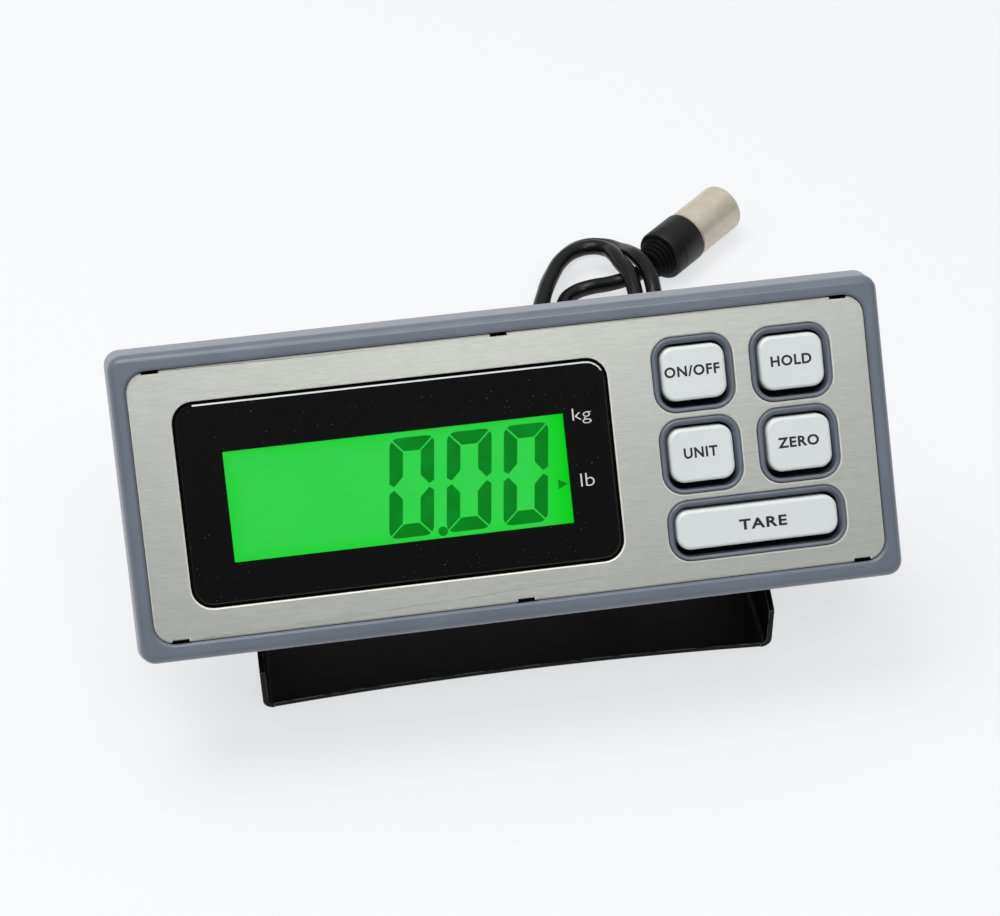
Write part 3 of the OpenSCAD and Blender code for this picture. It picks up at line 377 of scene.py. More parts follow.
@dataclass(frozen=True)
class Brushed(Finish):
    """Sheet steel brushed from side to side, with long fine lines and a few deeper ones."""

    light: Colour = srgb(214, 217, 209)
    dark: Colour = srgb(199, 202, 194)
    metallic: float = 0.7
    roughness: float = 0.34
    line: float = 0.00015
    stretch: float = 0.04
    broad_lines: float = 5.0
    fine_share: float = 0.8
    colour_band: Band = (0.3, 0.7)
    gloss_swing: float = 0.2
    depth: float = 0.000003

    def sockets(self, tree: Tree) -> dict:
        """Lines that run along X and change across the face."""
        lines = tree.stretched((self.stretch, 1, 1))
        fine = tree.noise(self.line, detail=3.0, where=lines)
        broad = tree.noise(self.line * self.broad_lines, detail=2.0, where=lines)
        stroke = fine * self.fine_share + broad * (1 - self.fine_share)
        return {
            "Base Color": tree.blend(stroke.band(*self.colour_band), self.dark, self.light),
            "Metallic": self.metallic,
            "Roughness": self.roughness + (stroke - 0.5) * self.gloss_swing,
            "Normal": tree.bump(fine, self.depth),
        }


@dataclass(frozen=True)
class Metal(Finish):
    """Turned or plated metal with faint stains."""

    colour: Colour
    roughness: float = 0.3
    metallic: float = 1.0
    stain: float = 0.12
    stain_size: float = 0.006
    stain_band: Band = (0.35, 0.65)
    stain_share: float = 0.6
    grain: float = 0.0005
    gloss_swing: float = 0.2
    depth: float = 0.000004

    def sockets(self, tree: Tree) -> dict:
        """Cloudy stains over a bright colour, and uneven gloss."""
        cloud = tree.noise(self.stain_size, detail=4.0)
        fine = tree.noise(self.grain, detail=2.0)
        dull = tuple(value * (1 - 2 * self.stain) for value in self.colour)
        mixed = cloud * self.stain_share + fine * (1 - self.stain_share)
        return {
            "Base Color": tree.blend(cloud.band(*self.stain_band), dull, self.colour),
            "Metallic": self.metallic,
            "Roughness": self.roughness + (mixed - 0.5) * self.gloss_swing,
            "Normal": tree.bump(fine, self.depth),
        }


@dataclass(frozen=True)
class Painted(Finish):
    """Powder coated sheet steel: satin pimples, with the coat rubbed thin along worn edges."""

    colour: Colour = srgb(8, 8, 9)
    bare: Colour = srgb(120, 118, 116)
    cloud_size: float = 0.004
    cloud_shade: float = 0.8
    pimple_size: float = 0.0006
    pimple_share: float = 0.15
    depth: float = 0.00002
    rubbed_band: Band = (0.42, 0.66)
    roughness: float = 0.46
    gloss_swing: float = 0.2
    specular: float = 0.16

    def sockets(self, tree: Tree) -> dict:
        """Coat, pimples and the worn edges that the mesh marks."""
        worn = tree.add("ShaderNodeAttribute", {"attribute_name": WORN}).out("Fac")
        cloud = tree.noise(self.cloud_size, detail=3.0)
        pimples = tree.noise(self.pimple_size, detail=2.0)
        rubbed = worn * (cloud + self.pimple_share * pimples).band(*self.rubbed_band)
        shaded = tuple(self.cloud_shade * value for value in self.colour)
        return {
            "Base Color": tree.blend(rubbed, tree.blend(cloud, shaded, self.colour), self.bare),
            "Roughness": self.roughness + (pimples - 0.5) * self.gloss_swing,
            "Specular IOR Level": self.specular,
            "Normal": tree.bump(pimples, self.depth),
        }


@dataclass(frozen=True)
class LensBlack(Finish):
    """Black printed acrylic: deep gloss with fine dust lying on it."""

    colour: Colour = srgb(21, 21, 21)
    specular: float = 0.12
    roughness: float = 0.09
    smear_size: float = 0.02
    smear_band: Band = (0.4, 0.8)
    smear_roughness: float = 0.08
    speck_colour: Colour = srgb(88, 87, 84)
    speck_size: float = 0.00045
    speck_band: Band = (0.80, 0.86)
    speck_roughness: float = 0.4
    patch_size: float = 0.011
    patch_band: Band = (0.45, 0.6)
    patch_share: float = 0.75

    def sockets(self, tree: Tree) -> dict:
        """A glossy black with faint smears, and pale specks that lie thicker in patches."""
        patches = tree.noise(self.patch_size, detail=2.0).band(*self.patch_band)
        thinned = (1 - self.patch_share) + self.patch_share * patches
        specks = tree.noise(self.speck_size, detail=0.0).band(*self.speck_band) * thinned
        smear = tree.noise(self.smear_size, detail=4.0).band(*self.smear_band)
        dulled = smear * self.smear_roughness + specks * self.speck_roughness
        return {
            "Base Color": tree.blend(specks, self.colour, self.speck_colour),
            "Roughness": self.roughness + dulled,
            "Specular IOR Level": self.specular,
        }


@dataclass(frozen=True)
class LensClear(Finish):
    """Clear acrylic over the display."""

    tint: Colour = (0.97, 1.0, 0.97)
    index: float = 1.1
    smear_size: float = 0.02
    smear_band: Band = (0.6, 0.9)
    smear_roughness: float = 0.03

    def sockets(self, tree: Tree) -> dict:
        """Clear, with faint smears in the gloss."""
        smear = tree.noise(self.smear_size, detail=4.0).band(*self.smear_band)
        return {
            "Base Color": (*self.tint, 1.0),
            "Roughness": smear * self.smear_roughness,
            "Transmission Weight": 1.0,
            "IOR": self.index,
        }


@dataclass(frozen=True)
class Glowing(Finish):
    """What the lit glass and its segments share: a near black surface with light coming through."""

    surface: Colour
    roughness: float
    specular: float = 0.08

    def sockets(self, tree: Tree) -> dict:
        """A dim surface that glows."""
        return {
            "Base Color": (*self.surface, 1.0),
            "Roughness": self.roughness,
            "Specular IOR Level": self.specular,
            "Emission Color": self.glow(tree),
            "Emission Strength": 1.0,
        }

    def glow(self, tree: Tree) -> Sock:
        """Gives the light's colour. Each finish has its own."""
        raise NotImplementedError


@dataclass(frozen=True)
class Backlit(Glowing):
    """The lit display: an even green that grows purer towards its edges and its lamps."""

    surface: Colour = (0.0, 0.02, 0.0)
    roughness: float = 0.35
    middle: Colour = srgb(54, 206, 79)
    edge: Colour = srgb(2, 204, 28)
    centre: Spot = (0.0, 0.0)
    half: Spot = (0.04, 0.014)
    right_band: Band = (0.72, 1.02)
    left_band: Band = (0.86, 1.05)
    left_share: float = 0.55
    upright_band: Band = (0.7, 1.05)
    upright_share: float = 0.5
    cloud_size: float = 0.012
    cloud_band: Band = (0.35, 0.75)
    cloud_share: float = 0.10

    def glow(self, tree: Tree) -> Sock:
        """A glow read from the place across the display."""
        coords = tree.add("ShaderNodeTexCoord").out("Object")
        split = tree.add("ShaderNodeSeparateXYZ", {}, {0: coords})
        across = (split.out(0) - self.centre[0]) / self.half[0]
        up = (split.out(2) - self.centre[1]) / self.half[1]
        left = (0 - across).band(*self.left_band) * self.left_share
        side = across.band(*self.right_band) + left
        rim = side.most(abs(up).band(*self.upright_band) * self.upright_share).least(1.0)
        cloud = tree.noise(self.cloud_size, detail=2.0).band(*self.cloud_band)
        mask = (rim + cloud * self.cloud_share).least(1.0)
        return tree.blend(mask, self.middle, self.edge)


@dataclass(frozen=True)
class SegmentInk(Glowing):
    """A dark display segment with the green light coming through."""

    surface: Colour = (0.0, 0.01, 0.0)
    roughness: float = 0.4
    dark: Colour = srgb(0, 122, 28)
    light: Colour = srgb(4, 138, 42)
    cloud_size: float = 0.004
    cloud_band: Band = (0.4, 0.8)

    def glow(self, tree: Tree) -> Sock:
        """Faint clouds in the segment's glow."""
        cloud = tree.noise(self.cloud_size, detail=2.0).band(*self.cloud_band)
        return tree.blend(cloud, self.dark, self.light)


CASING = Moulded("casing_plastic", srgb(101, 108, 118), roughness=0.33, dust=0.08)
# Near black on the lens seat, its throat and the tab slots: painted shade in these recesses of the
# blue-grey casing.
RECESS_SHADE = Moulded("recess_painted_shade", srgb(14, 14, 15), roughness=0.7, specular=0.1)
STEEL = Brushed("brushed_face")
# Near white on the plate's front chamfers: partly the bare cut steel, partly a painted highlight
# along the edges.
CUT_STEEL_AND_HIGHLIGHT = Metal("cut_steel_and_painted_highlight", srgb(250, 247, 236), roughness=0.4, metallic=0.1, stain=0.02)
BLACK_LENS = LensBlack("lens_print")
CLEAR_LENS = LensClear("lens_clear")
INK = SegmentInk("segment_ink")
KEY = Moulded(
    "key_plastic", srgb(213, 218, 217), roughness=0.36, mottle=0.015, depth=0.000006
)
# Near black on the key caps' flanges: painted shade in the wells below the caps.
FLANGE_SHADE = Moulded("key_flange_painted_shade", srgb(24, 24, 25), roughness=0.7, specular=0.1)
LEGEND = Moulded("legend_print", srgb(22, 24, 26), roughness=0.5, mottle=0.05)
# Pale grey on the lens's upper front bevel only: a painted highlight.
LENS_TOP_HIGHLIGHT = Moulded("lens_top_painted_highlight", srgb(204, 206, 205), roughness=0.35, mottle=0.03)
LENS_LEGEND = Moulded("lens_legend", srgb(205, 206, 208), roughness=0.5, mottle=0.03)
STAND = Painted("stand_paint")
CABLE = Moulded(
    "cable_jacket", srgb(11, 11, 12), roughness=0.34, depth=0.00001, dust=0.05, specular=0.3
)
RUBBER = Moulded(
    "boot_rubber", srgb(9, 9, 10), roughness=0.65, depth=0.00002, dust=0.04, specular=0.12
)
BUSHING = Moulded(
    "bushing_plastic", srgb(20, 20, 21), roughness=0.42, depth=0.00001, dust=0.04, specular=0.3
)
NICKEL = Metal("plug_nickel", srgb(208, 200, 180), roughness=0.38, metallic=0.45, stain=0.05)
BRASS = Metal("turned_brass", srgb(200, 160, 85), roughness=0.3)
BRIGHT = Metal("screw_steel", srgb(175, 177, 180), roughness=0.32)
DARK_SCREW = Metal("black_screw", srgb(70, 70, 74), roughness=0.4)
KNOB = Moulded("knob_plastic", srgb(30, 30, 32), roughness=0.48, depth=0.00002)
WASHER = Moulded("washer_fibre", srgb(26, 26, 26), roughness=0.8, depth=0.00003)
WHITE = Moulded("white_nylon", srgb(228, 228, 222), roughness=0.5, mottle=0.03)
LIGHT = Moulded("light_acrylic", srgb(214, 240, 216), roughness=0.2, mottle=0.03)
STRIP = Moulded("strip_silicone", srgb(222, 160, 168), roughness=0.6)
BOARD = Moulded("board_mask", srgb(24, 92, 48), roughness=0.3, grain=0.0008)
CHIP = Moulded("chip_resin", srgb(32, 32, 34), roughness=0.6)
PLUNGER = Moulded("plunger_resin", srgb(224, 214, 186), roughness=0.5)
TAPE = Moulded("tape_foam", srgb(34, 34, 34), roughness=0.85, depth=0.00004)
STRAP = Moulded("strap_weave", srgb(28, 28, 30), roughness=0.85, grain=0.0006, depth=0.00012)

NODE_FINISHES: dict[str, Finish] = {
    "lens_tape": TAPE, "lcd_holder": WHITE, "diffuser_sheet": WHITE, "light_guide": LIGHT,
    "backlight_lamps": LIGHT, "contact_strips": STRIP, "main_board": BOARD, "controller_chip": CHIP,
    "board_parts": BRIGHT, "switch_bodies": CHIP, "board_screws": BRIGHT, "case_screws": DARK_SCREW,
    "plunger_on_off": PLUNGER, "plunger_hold": PLUNGER, "plunger_unit": PLUNGER,
    "plunger_zero": PLUNGER, "plunger_tare": PLUNGER, "pivot_inserts": BRASS,
    "pivot_washers": WASHER, "stud_left": BRIGHT, "stud_right": BRIGHT, "board_socket": WHITE,
    "harness_plug": WHITE, "harness_wires": STRIP, "inner_cable": CABLE, "strain_relief": RUBBER,
    "plug_core": CHIP, "plug_contacts": BRASS,
}


@dataclass(frozen=True)
class Level:
    """A rounded rectangle at one height over the casing's crest."""

    width: float
    height: float
    corner: float
    z: float
    x: float = 0.0
    y: float = 0.0

    def inset(self, step: float, z: float) -> "Level":
        """The same outline drawn in by a step, at another height."""
        corner = max(self.corner - step, SMALLEST_CORNER)
        return Level(self.width - 2 * step, self.height - 2 * step, corner, z, self.x, self.y)

    def lowered(self, step: float) -> "Level":
        """The same outline with its lower side moved down by a step."""
        return replace(self, height=self.height + step, y=self.y - step / 2)


def round_over(
    base: Level, top: float, inset: float, drop: float, steps: int = ROUND_STEPS
) -> list[Level]:
    """Rounds the edge between a wall and the flat above it.

    Args:
        base: The wall's outline.
        top: Height of the flat.
        inset: Width of the rounding.
        drop: Depth of the rounding.
        steps: Number of its steps.

    Returns:
        Levels from the wall to the flat.
    """
    turns = [math.pi / 2 * step / steps for step in range(steps + 1)]
    return [
        base.inset(inset * (1 - math.cos(turn)), top - drop * (1 - math.sin(turn)))
        for turn in turns
    ]


class Shape:
    """A mesh under construction, in metres, made with mesh operators."""

    CORNER_STEPS = 7
    LATHE_STEPS = 48
    BEVEL_STEPS = 2

    def __init__(self) -> None:
        """Starts empty."""
        self.bm = bmesh.new()

    def outline(self, level: Level) -> list[bmesh.types.BMEdge]:
        """Adds the closed edge loop of a rounded rectangle.

        Args:
            level: Its size and place.

        Returns:
            The loop's edges.
        """
        before = set(self.bm.faces)
        corners = bmesh.ops.create_grid(self.bm, x_segments=1, y_segments=1, size=0.5)["verts"]
        bmesh.ops.scale(self.bm, vec=(level.width, level.height, 1), verts=corners)
        bmesh.ops.translate(self.bm, vec=(level.x, level.y, level.z), verts=corners)
        bmesh.ops.bevel(
            self.bm, geom=corners, offset=level.corner, offset_type="OFFSET",
            segments=self.CORNER_STEPS, profile=0.5, affect="VERTICES", clamp_overlap=False,
            material=-1,
        )
        face = next(iter(set(self.bm.faces) - before))
        edges = list(face.edges)
        bmesh.ops.delete(self.bm, geom=[face], context="FACES_ONLY")
        return edges

    def walls(self, loops: Sequence[list[bmesh.types.BMEdge]]) -> None:
        """Bridges each loop to the next."""
        for first, second in zip(loops, loops[1:]):
            bmesh.ops.bridge_loops(self.bm, edges=first + second)

    def loft(self, levels: Sequence[Level], start: bool = True, end: bool = True) -> list:
        """Joins outlines into a skin.

        Args:
            levels: The outlines in order.
            start: Whether the first outline is closed by a face.
            end: Whether the last one is.

        Returns:
            The edge loops, in order.
        """
        loops = [self.outline(level) for level in levels]
        self.walls(loops)
        if start:
            bmesh.ops.edgeloop_fill(self.bm, edges=loops[0])
        if end:
            bmesh.ops.edgeloop_fill(self.bm, edges=loops[-1])
        return loops

    def fill(self, *loops: list[bmesh.types.BMEdge]) -> list[bmesh.types.BMFace]:
        """Fills the flat area inside the first loop and outside the others.

        Args:
            loops: Closed edge loops in one plane.

        Returns:
            The new faces.
        """
        edges = [edge for loop in loops for edge in loop]
        made = bmesh.ops.triangle_fill(self.bm, use_beauty=True, use_dissolve=False, edges=edges)
        return [item for item in made["geom"] if isinstance(item, bmesh.types.BMFace)]

    def block(self, low: Point, high: Point) -> None:
        """Adds a straight block.

        Args:
            low: Its lowest corner.
            high: Its highest corner.
        """
        size = [top - bottom for bottom, top in zip(low, high)]
        middle = [(top + bottom) / 2 for bottom, top in zip(low, high)]
        verts = bmesh.ops.create_cube(self.bm, size=1)["verts"]
        bmesh.ops.scale(self.bm, vec=size, verts=verts)
        bmesh.ops.translate(self.bm, vec=middle, verts=verts)

    def thicken(self, faces: Sequence[bmesh.types.BMFace], depth: float) -> None:
        """Extrudes flat faces along Z.

        Args:
            faces: The faces.
            depth: How far, upwards or, below nought, downwards.
        """
        grown = bmesh.ops.extrude_face_region(self.bm, geom=faces)["geom"]
        moved = [item for item in grown if isinstance(item, bmesh.types.BMVert)]
        bmesh.ops.translate(self.bm, vec=(0, 0, depth), verts=moved)

    def lathe(self, profile: Sequence[Spot]) -> None:
        """Spins a profile about Z.

        Args:
            profile: Radii and heights, closed or from axis to axis.
        """
        verts = [self.bm.verts.new((radius, 0, height)) for radius, height in profile]
        edges = [self.bm.edges.new(pair) for pair in zip(verts, verts[1:])]
        bmesh.ops.spin(
            self.bm, geom=verts + edges, cent=(0, 0, 0), axis=(0, 0, 1),
            angle=2 * math.pi, steps=self.LATHE_STEPS, use_merge=True,
        )

    def take(self, node: str) -> None:
        """Copies a CAD node's mesh and joins its loose triangles.

        Args:
            node: The node's name.
        """
        self.bm.from_mesh(frame["nodes"][node].data)
        bmesh.ops.remove_doubles(self.bm, verts=self.bm.verts, dist=MERGE)
        bmesh.ops.dissolve_limit(
            self.bm, angle_limit=FLAT_ANGLE, verts=self.bm.verts, edges=self.bm.edges
        )

    def soften(self, width: float) -> None:
        """Bevels every sharp edge, and marks the bevels as worn edges.

        Args:
            width: The bevel's width.
        """
        sharp = sharp_edges(self.bm)
        worn = self.bm.faces.layers.float.new(WORN)
        made = bmesh.ops.bevel(
            self.bm, geom=sharp, offset=width, offset_type="OFFSET", segments=self.BEVEL_STEPS,
            profile=0.5, affect="EDGES", clamp_overlap=True, material=-1,
        )
        for face in made["faces"]:
            face[worn] = 1.0

    def piece(
        self, name: str, finishes: Sequence[Finish], place: Matrix = HEAD
    ) -> bpy.types.Object:
        """Turns the mesh into an object that sits at the origin.

        Args:
            name: The piece's name.
            finishes: Its finishes, in the order of its material numbers.
            place: Where the mesh goes.

        Returns:
            The new object.
        """
        bmesh.ops.transform(self.bm, matrix=place, verts=self.bm.verts)
        bmesh.ops.remove_doubles(self.bm, verts=self.bm.verts, dist=MERGE)
        bmesh.ops.recalc_face_normals(self.bm, faces=self.bm.faces)
        mesh = bpy.data.meshes.new(name)
        self.bm.to_mesh(mesh)
        self.bm.free()
        return dress(name, mesh, finishes)


def sharp_edges(mesh: bmesh.types.BMesh) -> list[bmesh.types.BMEdge]:
    """Lists a mesh's edges where its faces meet sharply."""
    closed = [edge for edge in mesh.edges if edge.is_manifold]
    return [edge for edge in closed if edge.calc_face_angle() > SHARP_ANGLE]


def shade(mesh: bpy.types.Mesh) -> None:
    """Shades a mesh smooth, with crisp edges where its faces meet sharply."""
    mesh.shade_smooth()
    mesh.set_sharp_from_angle(angle=SHARP_ANGLE)


def dress(name: str, mesh: bpy.types.Mesh, finishes: Sequence[Finish]) -> bpy.types.Object:
    """Makes a shaded object from a mesh.

    Args:
        name: The object's name.
        mesh: Its mesh, already in place.
        finishes: Its finishes.

    Returns:
        The object, linked to the scene.
    """
    for finish in finishes:
        mesh.materials.append(finish.material())
    shade(mesh)
    made = bpy.data.objects.new(name, mesh)
    bpy.context.scene.collection.objects.link(made)
    return made


def evaluated(piece: bpy.types.Object) -> bpy.types.Mesh:
    """Copies a piece's mesh as its modifiers leave it.

    Args:
        piece: A mesh, curve or text object in the scene.

    Returns:
        The new mesh.
    """
    bpy.context.view_layer.update()
    graph = bpy.context.evaluated_depsgraph_get()
    return bpy.data.meshes.new_from_object(piece.evaluated_get(graph), depsgraph=graph)


def settle(piece: bpy.types.Object) -> None:
    """Applies a piece's modifiers to its mesh.

    Args:
        piece: The piece.
    """
    mesh = evaluated(piece)
    mesh.name = piece.name
    piece.modifiers.clear()
    piece.data = mesh


def mesh_of(curve: bpy.types.Curve) -> bpy.types.Mesh:
    """Turns a curve or a text into a mesh.

    Args:
        curve: The curve or text.

    Returns:
        The new mesh, in the curve's own place.
    """
    holder = bpy.data.objects.new(curve.name, curve)
    bpy.context.scene.collection.objects.link(holder)
    mesh = evaluated(holder)
    bpy.data.objects.remove(holder)
    return mesh


def cut(piece: bpy.types.Object, cutter: Shape) -> None:
    """Subtracts a shape from a piece.

    Args:
        piece: What is cut.
        cutter: The blocks to take away, in the head's frame.
    """
    tool = cutter.piece(piece.name + "_cutter", [])
    change = piece.modifiers.new("openings", "BOOLEAN")
    change.operation = "DIFFERENCE"
    change.solver = "MANIFOLD"
    change.object = tool
    settle(piece)
    bpy.data.objects.remove(tool)


def even_normals(piece: bpy.types.Object) -> None:
    """Lets large flat faces lead the shading at rounded edges.

    Args:
        piece: The piece that is shaded.
    """
    change = piece.modifiers.new("even_normals", "WEIGHTED_NORMAL")
    change.keep_sharp = True
    settle(piece)


def carry(piece: bpy.types.Object, body: Body, slot: Slot, *nodes: str) -> bpy.types.Object:
    """Makes a piece ride on a body, and stand for CAD nodes.

    Args:
        piece: The piece.
        body: The body that it rides on.
        slot: Its material slot; not used.
        nodes: CAD nodes that it replaces.

    Returns:
        The piece.
    """
    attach(piece, body.value)
    if nodes:
        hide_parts(*nodes)
    LOG.info("%s: %d faces", piece.name, len(piece.data.polygons))
    return piece


@dataclass(frozen=True)
class PhotoCamera:
    """The photograph's camera: its place, its turn and its focal length in pixels."""

    place: Point = (-0.06241, -0.46048, 0.50174)
    elevation: float = math.radians(44.008)
    yaw: float = math.radians(7.721)
    roll: float = math.radians(-1.170)
    focal_pixels: float = 2398.0
    image_width: int = 1000
    sensor: float = 36.0
    nearest: float = 0.01
    farthest: float = 50.0

    def build(self) -> None:
        """Makes the camera and gives it to the scene."""
        cos_e = math.cos(self.elevation)
        ahead = Vector(
            (math.sin(self.yaw) * cos_e, math.cos(self.yaw) * cos_e, -math.sin(self.elevation))
        )
        right = Vector((math.cos(self.yaw), -math.sin(self.yaw), 0))
        up = right.cross(ahead)
        turned_right = math.cos(self.roll) * right + math.sin(self.roll) * up
        turned_up = math.cos(self.roll) * up - math.sin(self.roll) * right
        turn = Matrix((turned_right, turned_up, -ahead)).transposed().to_4x4()
        lens = bpy.data.cameras.new("photo_camera")
        lens.sensor_fit = "HORIZONTAL"
        lens.sensor_width = self.sensor
        lens.lens = self.focal_pixels / self.image_width * self.sensor
        lens.clip_start = self.nearest
        lens.clip_end = self.farthest
        camera = bpy.data.objects.new("photo_camera", lens)
        camera.matrix_world = Matrix.Translation(self.place) @ turn
        bpy.context.scene.collection.objects.link(camera)
        bpy.context.scene.camera = camera


@dataclass(frozen=True)
class Softbox:
    """A square soft lamp."""

    name: str
    place: Point
    target: Point
    side: float
    watts: float

    def build(self) -> None:
        """Hangs the lamp and turns it to its target."""
        lamp = bpy.data.lights.new(self.name, "AREA")
        lamp.shape = "SQUARE"
        lamp.size = self.side
        lamp.energy = self.watts
        made = bpy.data.objects.new(self.name, lamp)
        heading = Vector(self.target) - Vector(self.place)
        made.matrix_world = (
            Matrix.Translation(self.place) @ heading.to_track_quat("-Z", "Y").to_matrix().to_4x4()
        )
        bpy.context.scene.collection.objects.link(made)


@dataclass(frozen=True)
class Studio:
    """Pale floor, pale surroundings and soft lamps."""

    floor_side: float = 12.0
    floor_colour: Colour = (0.78, 0.78, 0.83)
    floor_roughness: float = 0.9
    floor_specular: float = 0.1
    floor_white: Colour = (0.945, 0.95, 0.955)
    floor_lift: float = 0.69
    sky_dim: Colour = (0.16, 0.165, 0.175)
    sky_bright: Colour = (1.0, 1.0, 1.0)
    sky_strength: float = 0.85
    sky_white: Colour = (0.955, 0.96, 0.965)
    above_band: Band = (0.35, 1.0)
    above_share: float = 0.75
    behind_band: Band = (-0.3, 0.7)
    behind_share: float = 0.45
    lamps: tuple[Softbox, ...] = (
        Softbox("key_softbox", (-0.35, 0.15, 1.25), (0, 0, 0), 0.7, 9.0),
        Softbox("front_softbox", (0.12, -0.66, 1.22), (0, 0, 0.05), 0.5, 5.2),
    )

    def build(self) -> None:
        """Makes the surroundings, the floor and the lamps."""
        bpy.context.scene.view_settings.view_transform = "Standard"
        self._surroundings()
        self._floor()
        for lamp in self.lamps:
            lamp.build()

    @staticmethod
    def _seen(tree: Tree) -> Sock:
        """Tells the rays that show the floor, straight or through gloss or glass.

        Args:
            tree: The floor's node tree.

        Returns:
            One for such rays, else nought.
        """
        path = tree.add("ShaderNodeLightPath")
        gloss_or_glass = path.out("Is Glossy Ray") + path.out("Is Transmission Ray")
        return (path.out("Is Camera Ray") + gloss_or_glass).least(1.0)

    def _surroundings(self) -> None:
        """Pale sky that is dimmer in front of the object, and white where the eye sees it."""
        world = bpy.data.worlds.new("studio")
        bpy.context.scene.world = world
        world.use_nodes = True
        tree = Tree(world.node_tree)
        coords = tree.add("ShaderNodeTexCoord").out("Generated")
        split = tree.add("ShaderNodeSeparateXYZ", {}, {0: coords})
        above = split.out(2).band(*self.above_band) * self.above_share
        behind = split.out(1).band(*self.behind_band) * self.behind_share
        glow = tree.blend((above + behind).least(1.0), self.sky_dim, self.sky_bright)
        eye = tree.add("ShaderNodeLightPath").out("Is Camera Ray")
        lit = {"Color": glow, "Strength": self.sky_strength}
        ambient = tree.add("ShaderNodeBackground", {}, lit).out()
        plain = {"Color": (*self.sky_white, 1.0), "Strength": 1.0}
        white = tree.add("ShaderNodeBackground", {}, plain).out()
        shown = tree.add("ShaderNodeMixShader", {}, {0: eye, 1: ambient, 2: white})
        tree.add("ShaderNodeOutputWorld", {}, {"Surface": shown.out()})

    def _floor(self) -> None:
        """A wide pale floor that keeps the object's soft shadow."""
        ground = Shape()
        bmesh.ops.create_grid(ground.bm, x_segments=1, y_segments=1, size=self.floor_side / 2)
        made = ground.piece("floor", [], Matrix.Identity(4))
        paint = bpy.data.materials.new("floor_paint")
        paint.use_nodes = True
        tree = Tree(paint.node_tree)
        surface = {
            "Base Color": (*self.floor_colour, 1.0),
            "Roughness": self.floor_roughness,
            "Specular IOR Level": self.floor_specular,
        }
        matt = tree.add("ShaderNodeBsdfPrincipled", {}, surface).out()
        plain = {"Color": (*self.floor_white, 1.0), "Strength": 1.0}
        white = tree.add("ShaderNodeEmission", {}, plain).out()
        lift = self._seen(tree) * self.floor_lift
        lifted = tree.add("ShaderNodeMixShader", {}, {0: lift, 1: matt, 2: white})
        tree.add("ShaderNodeOutputMaterial", {}, {"Surface": lifted.out()})
        made.data.materials.append(paint)


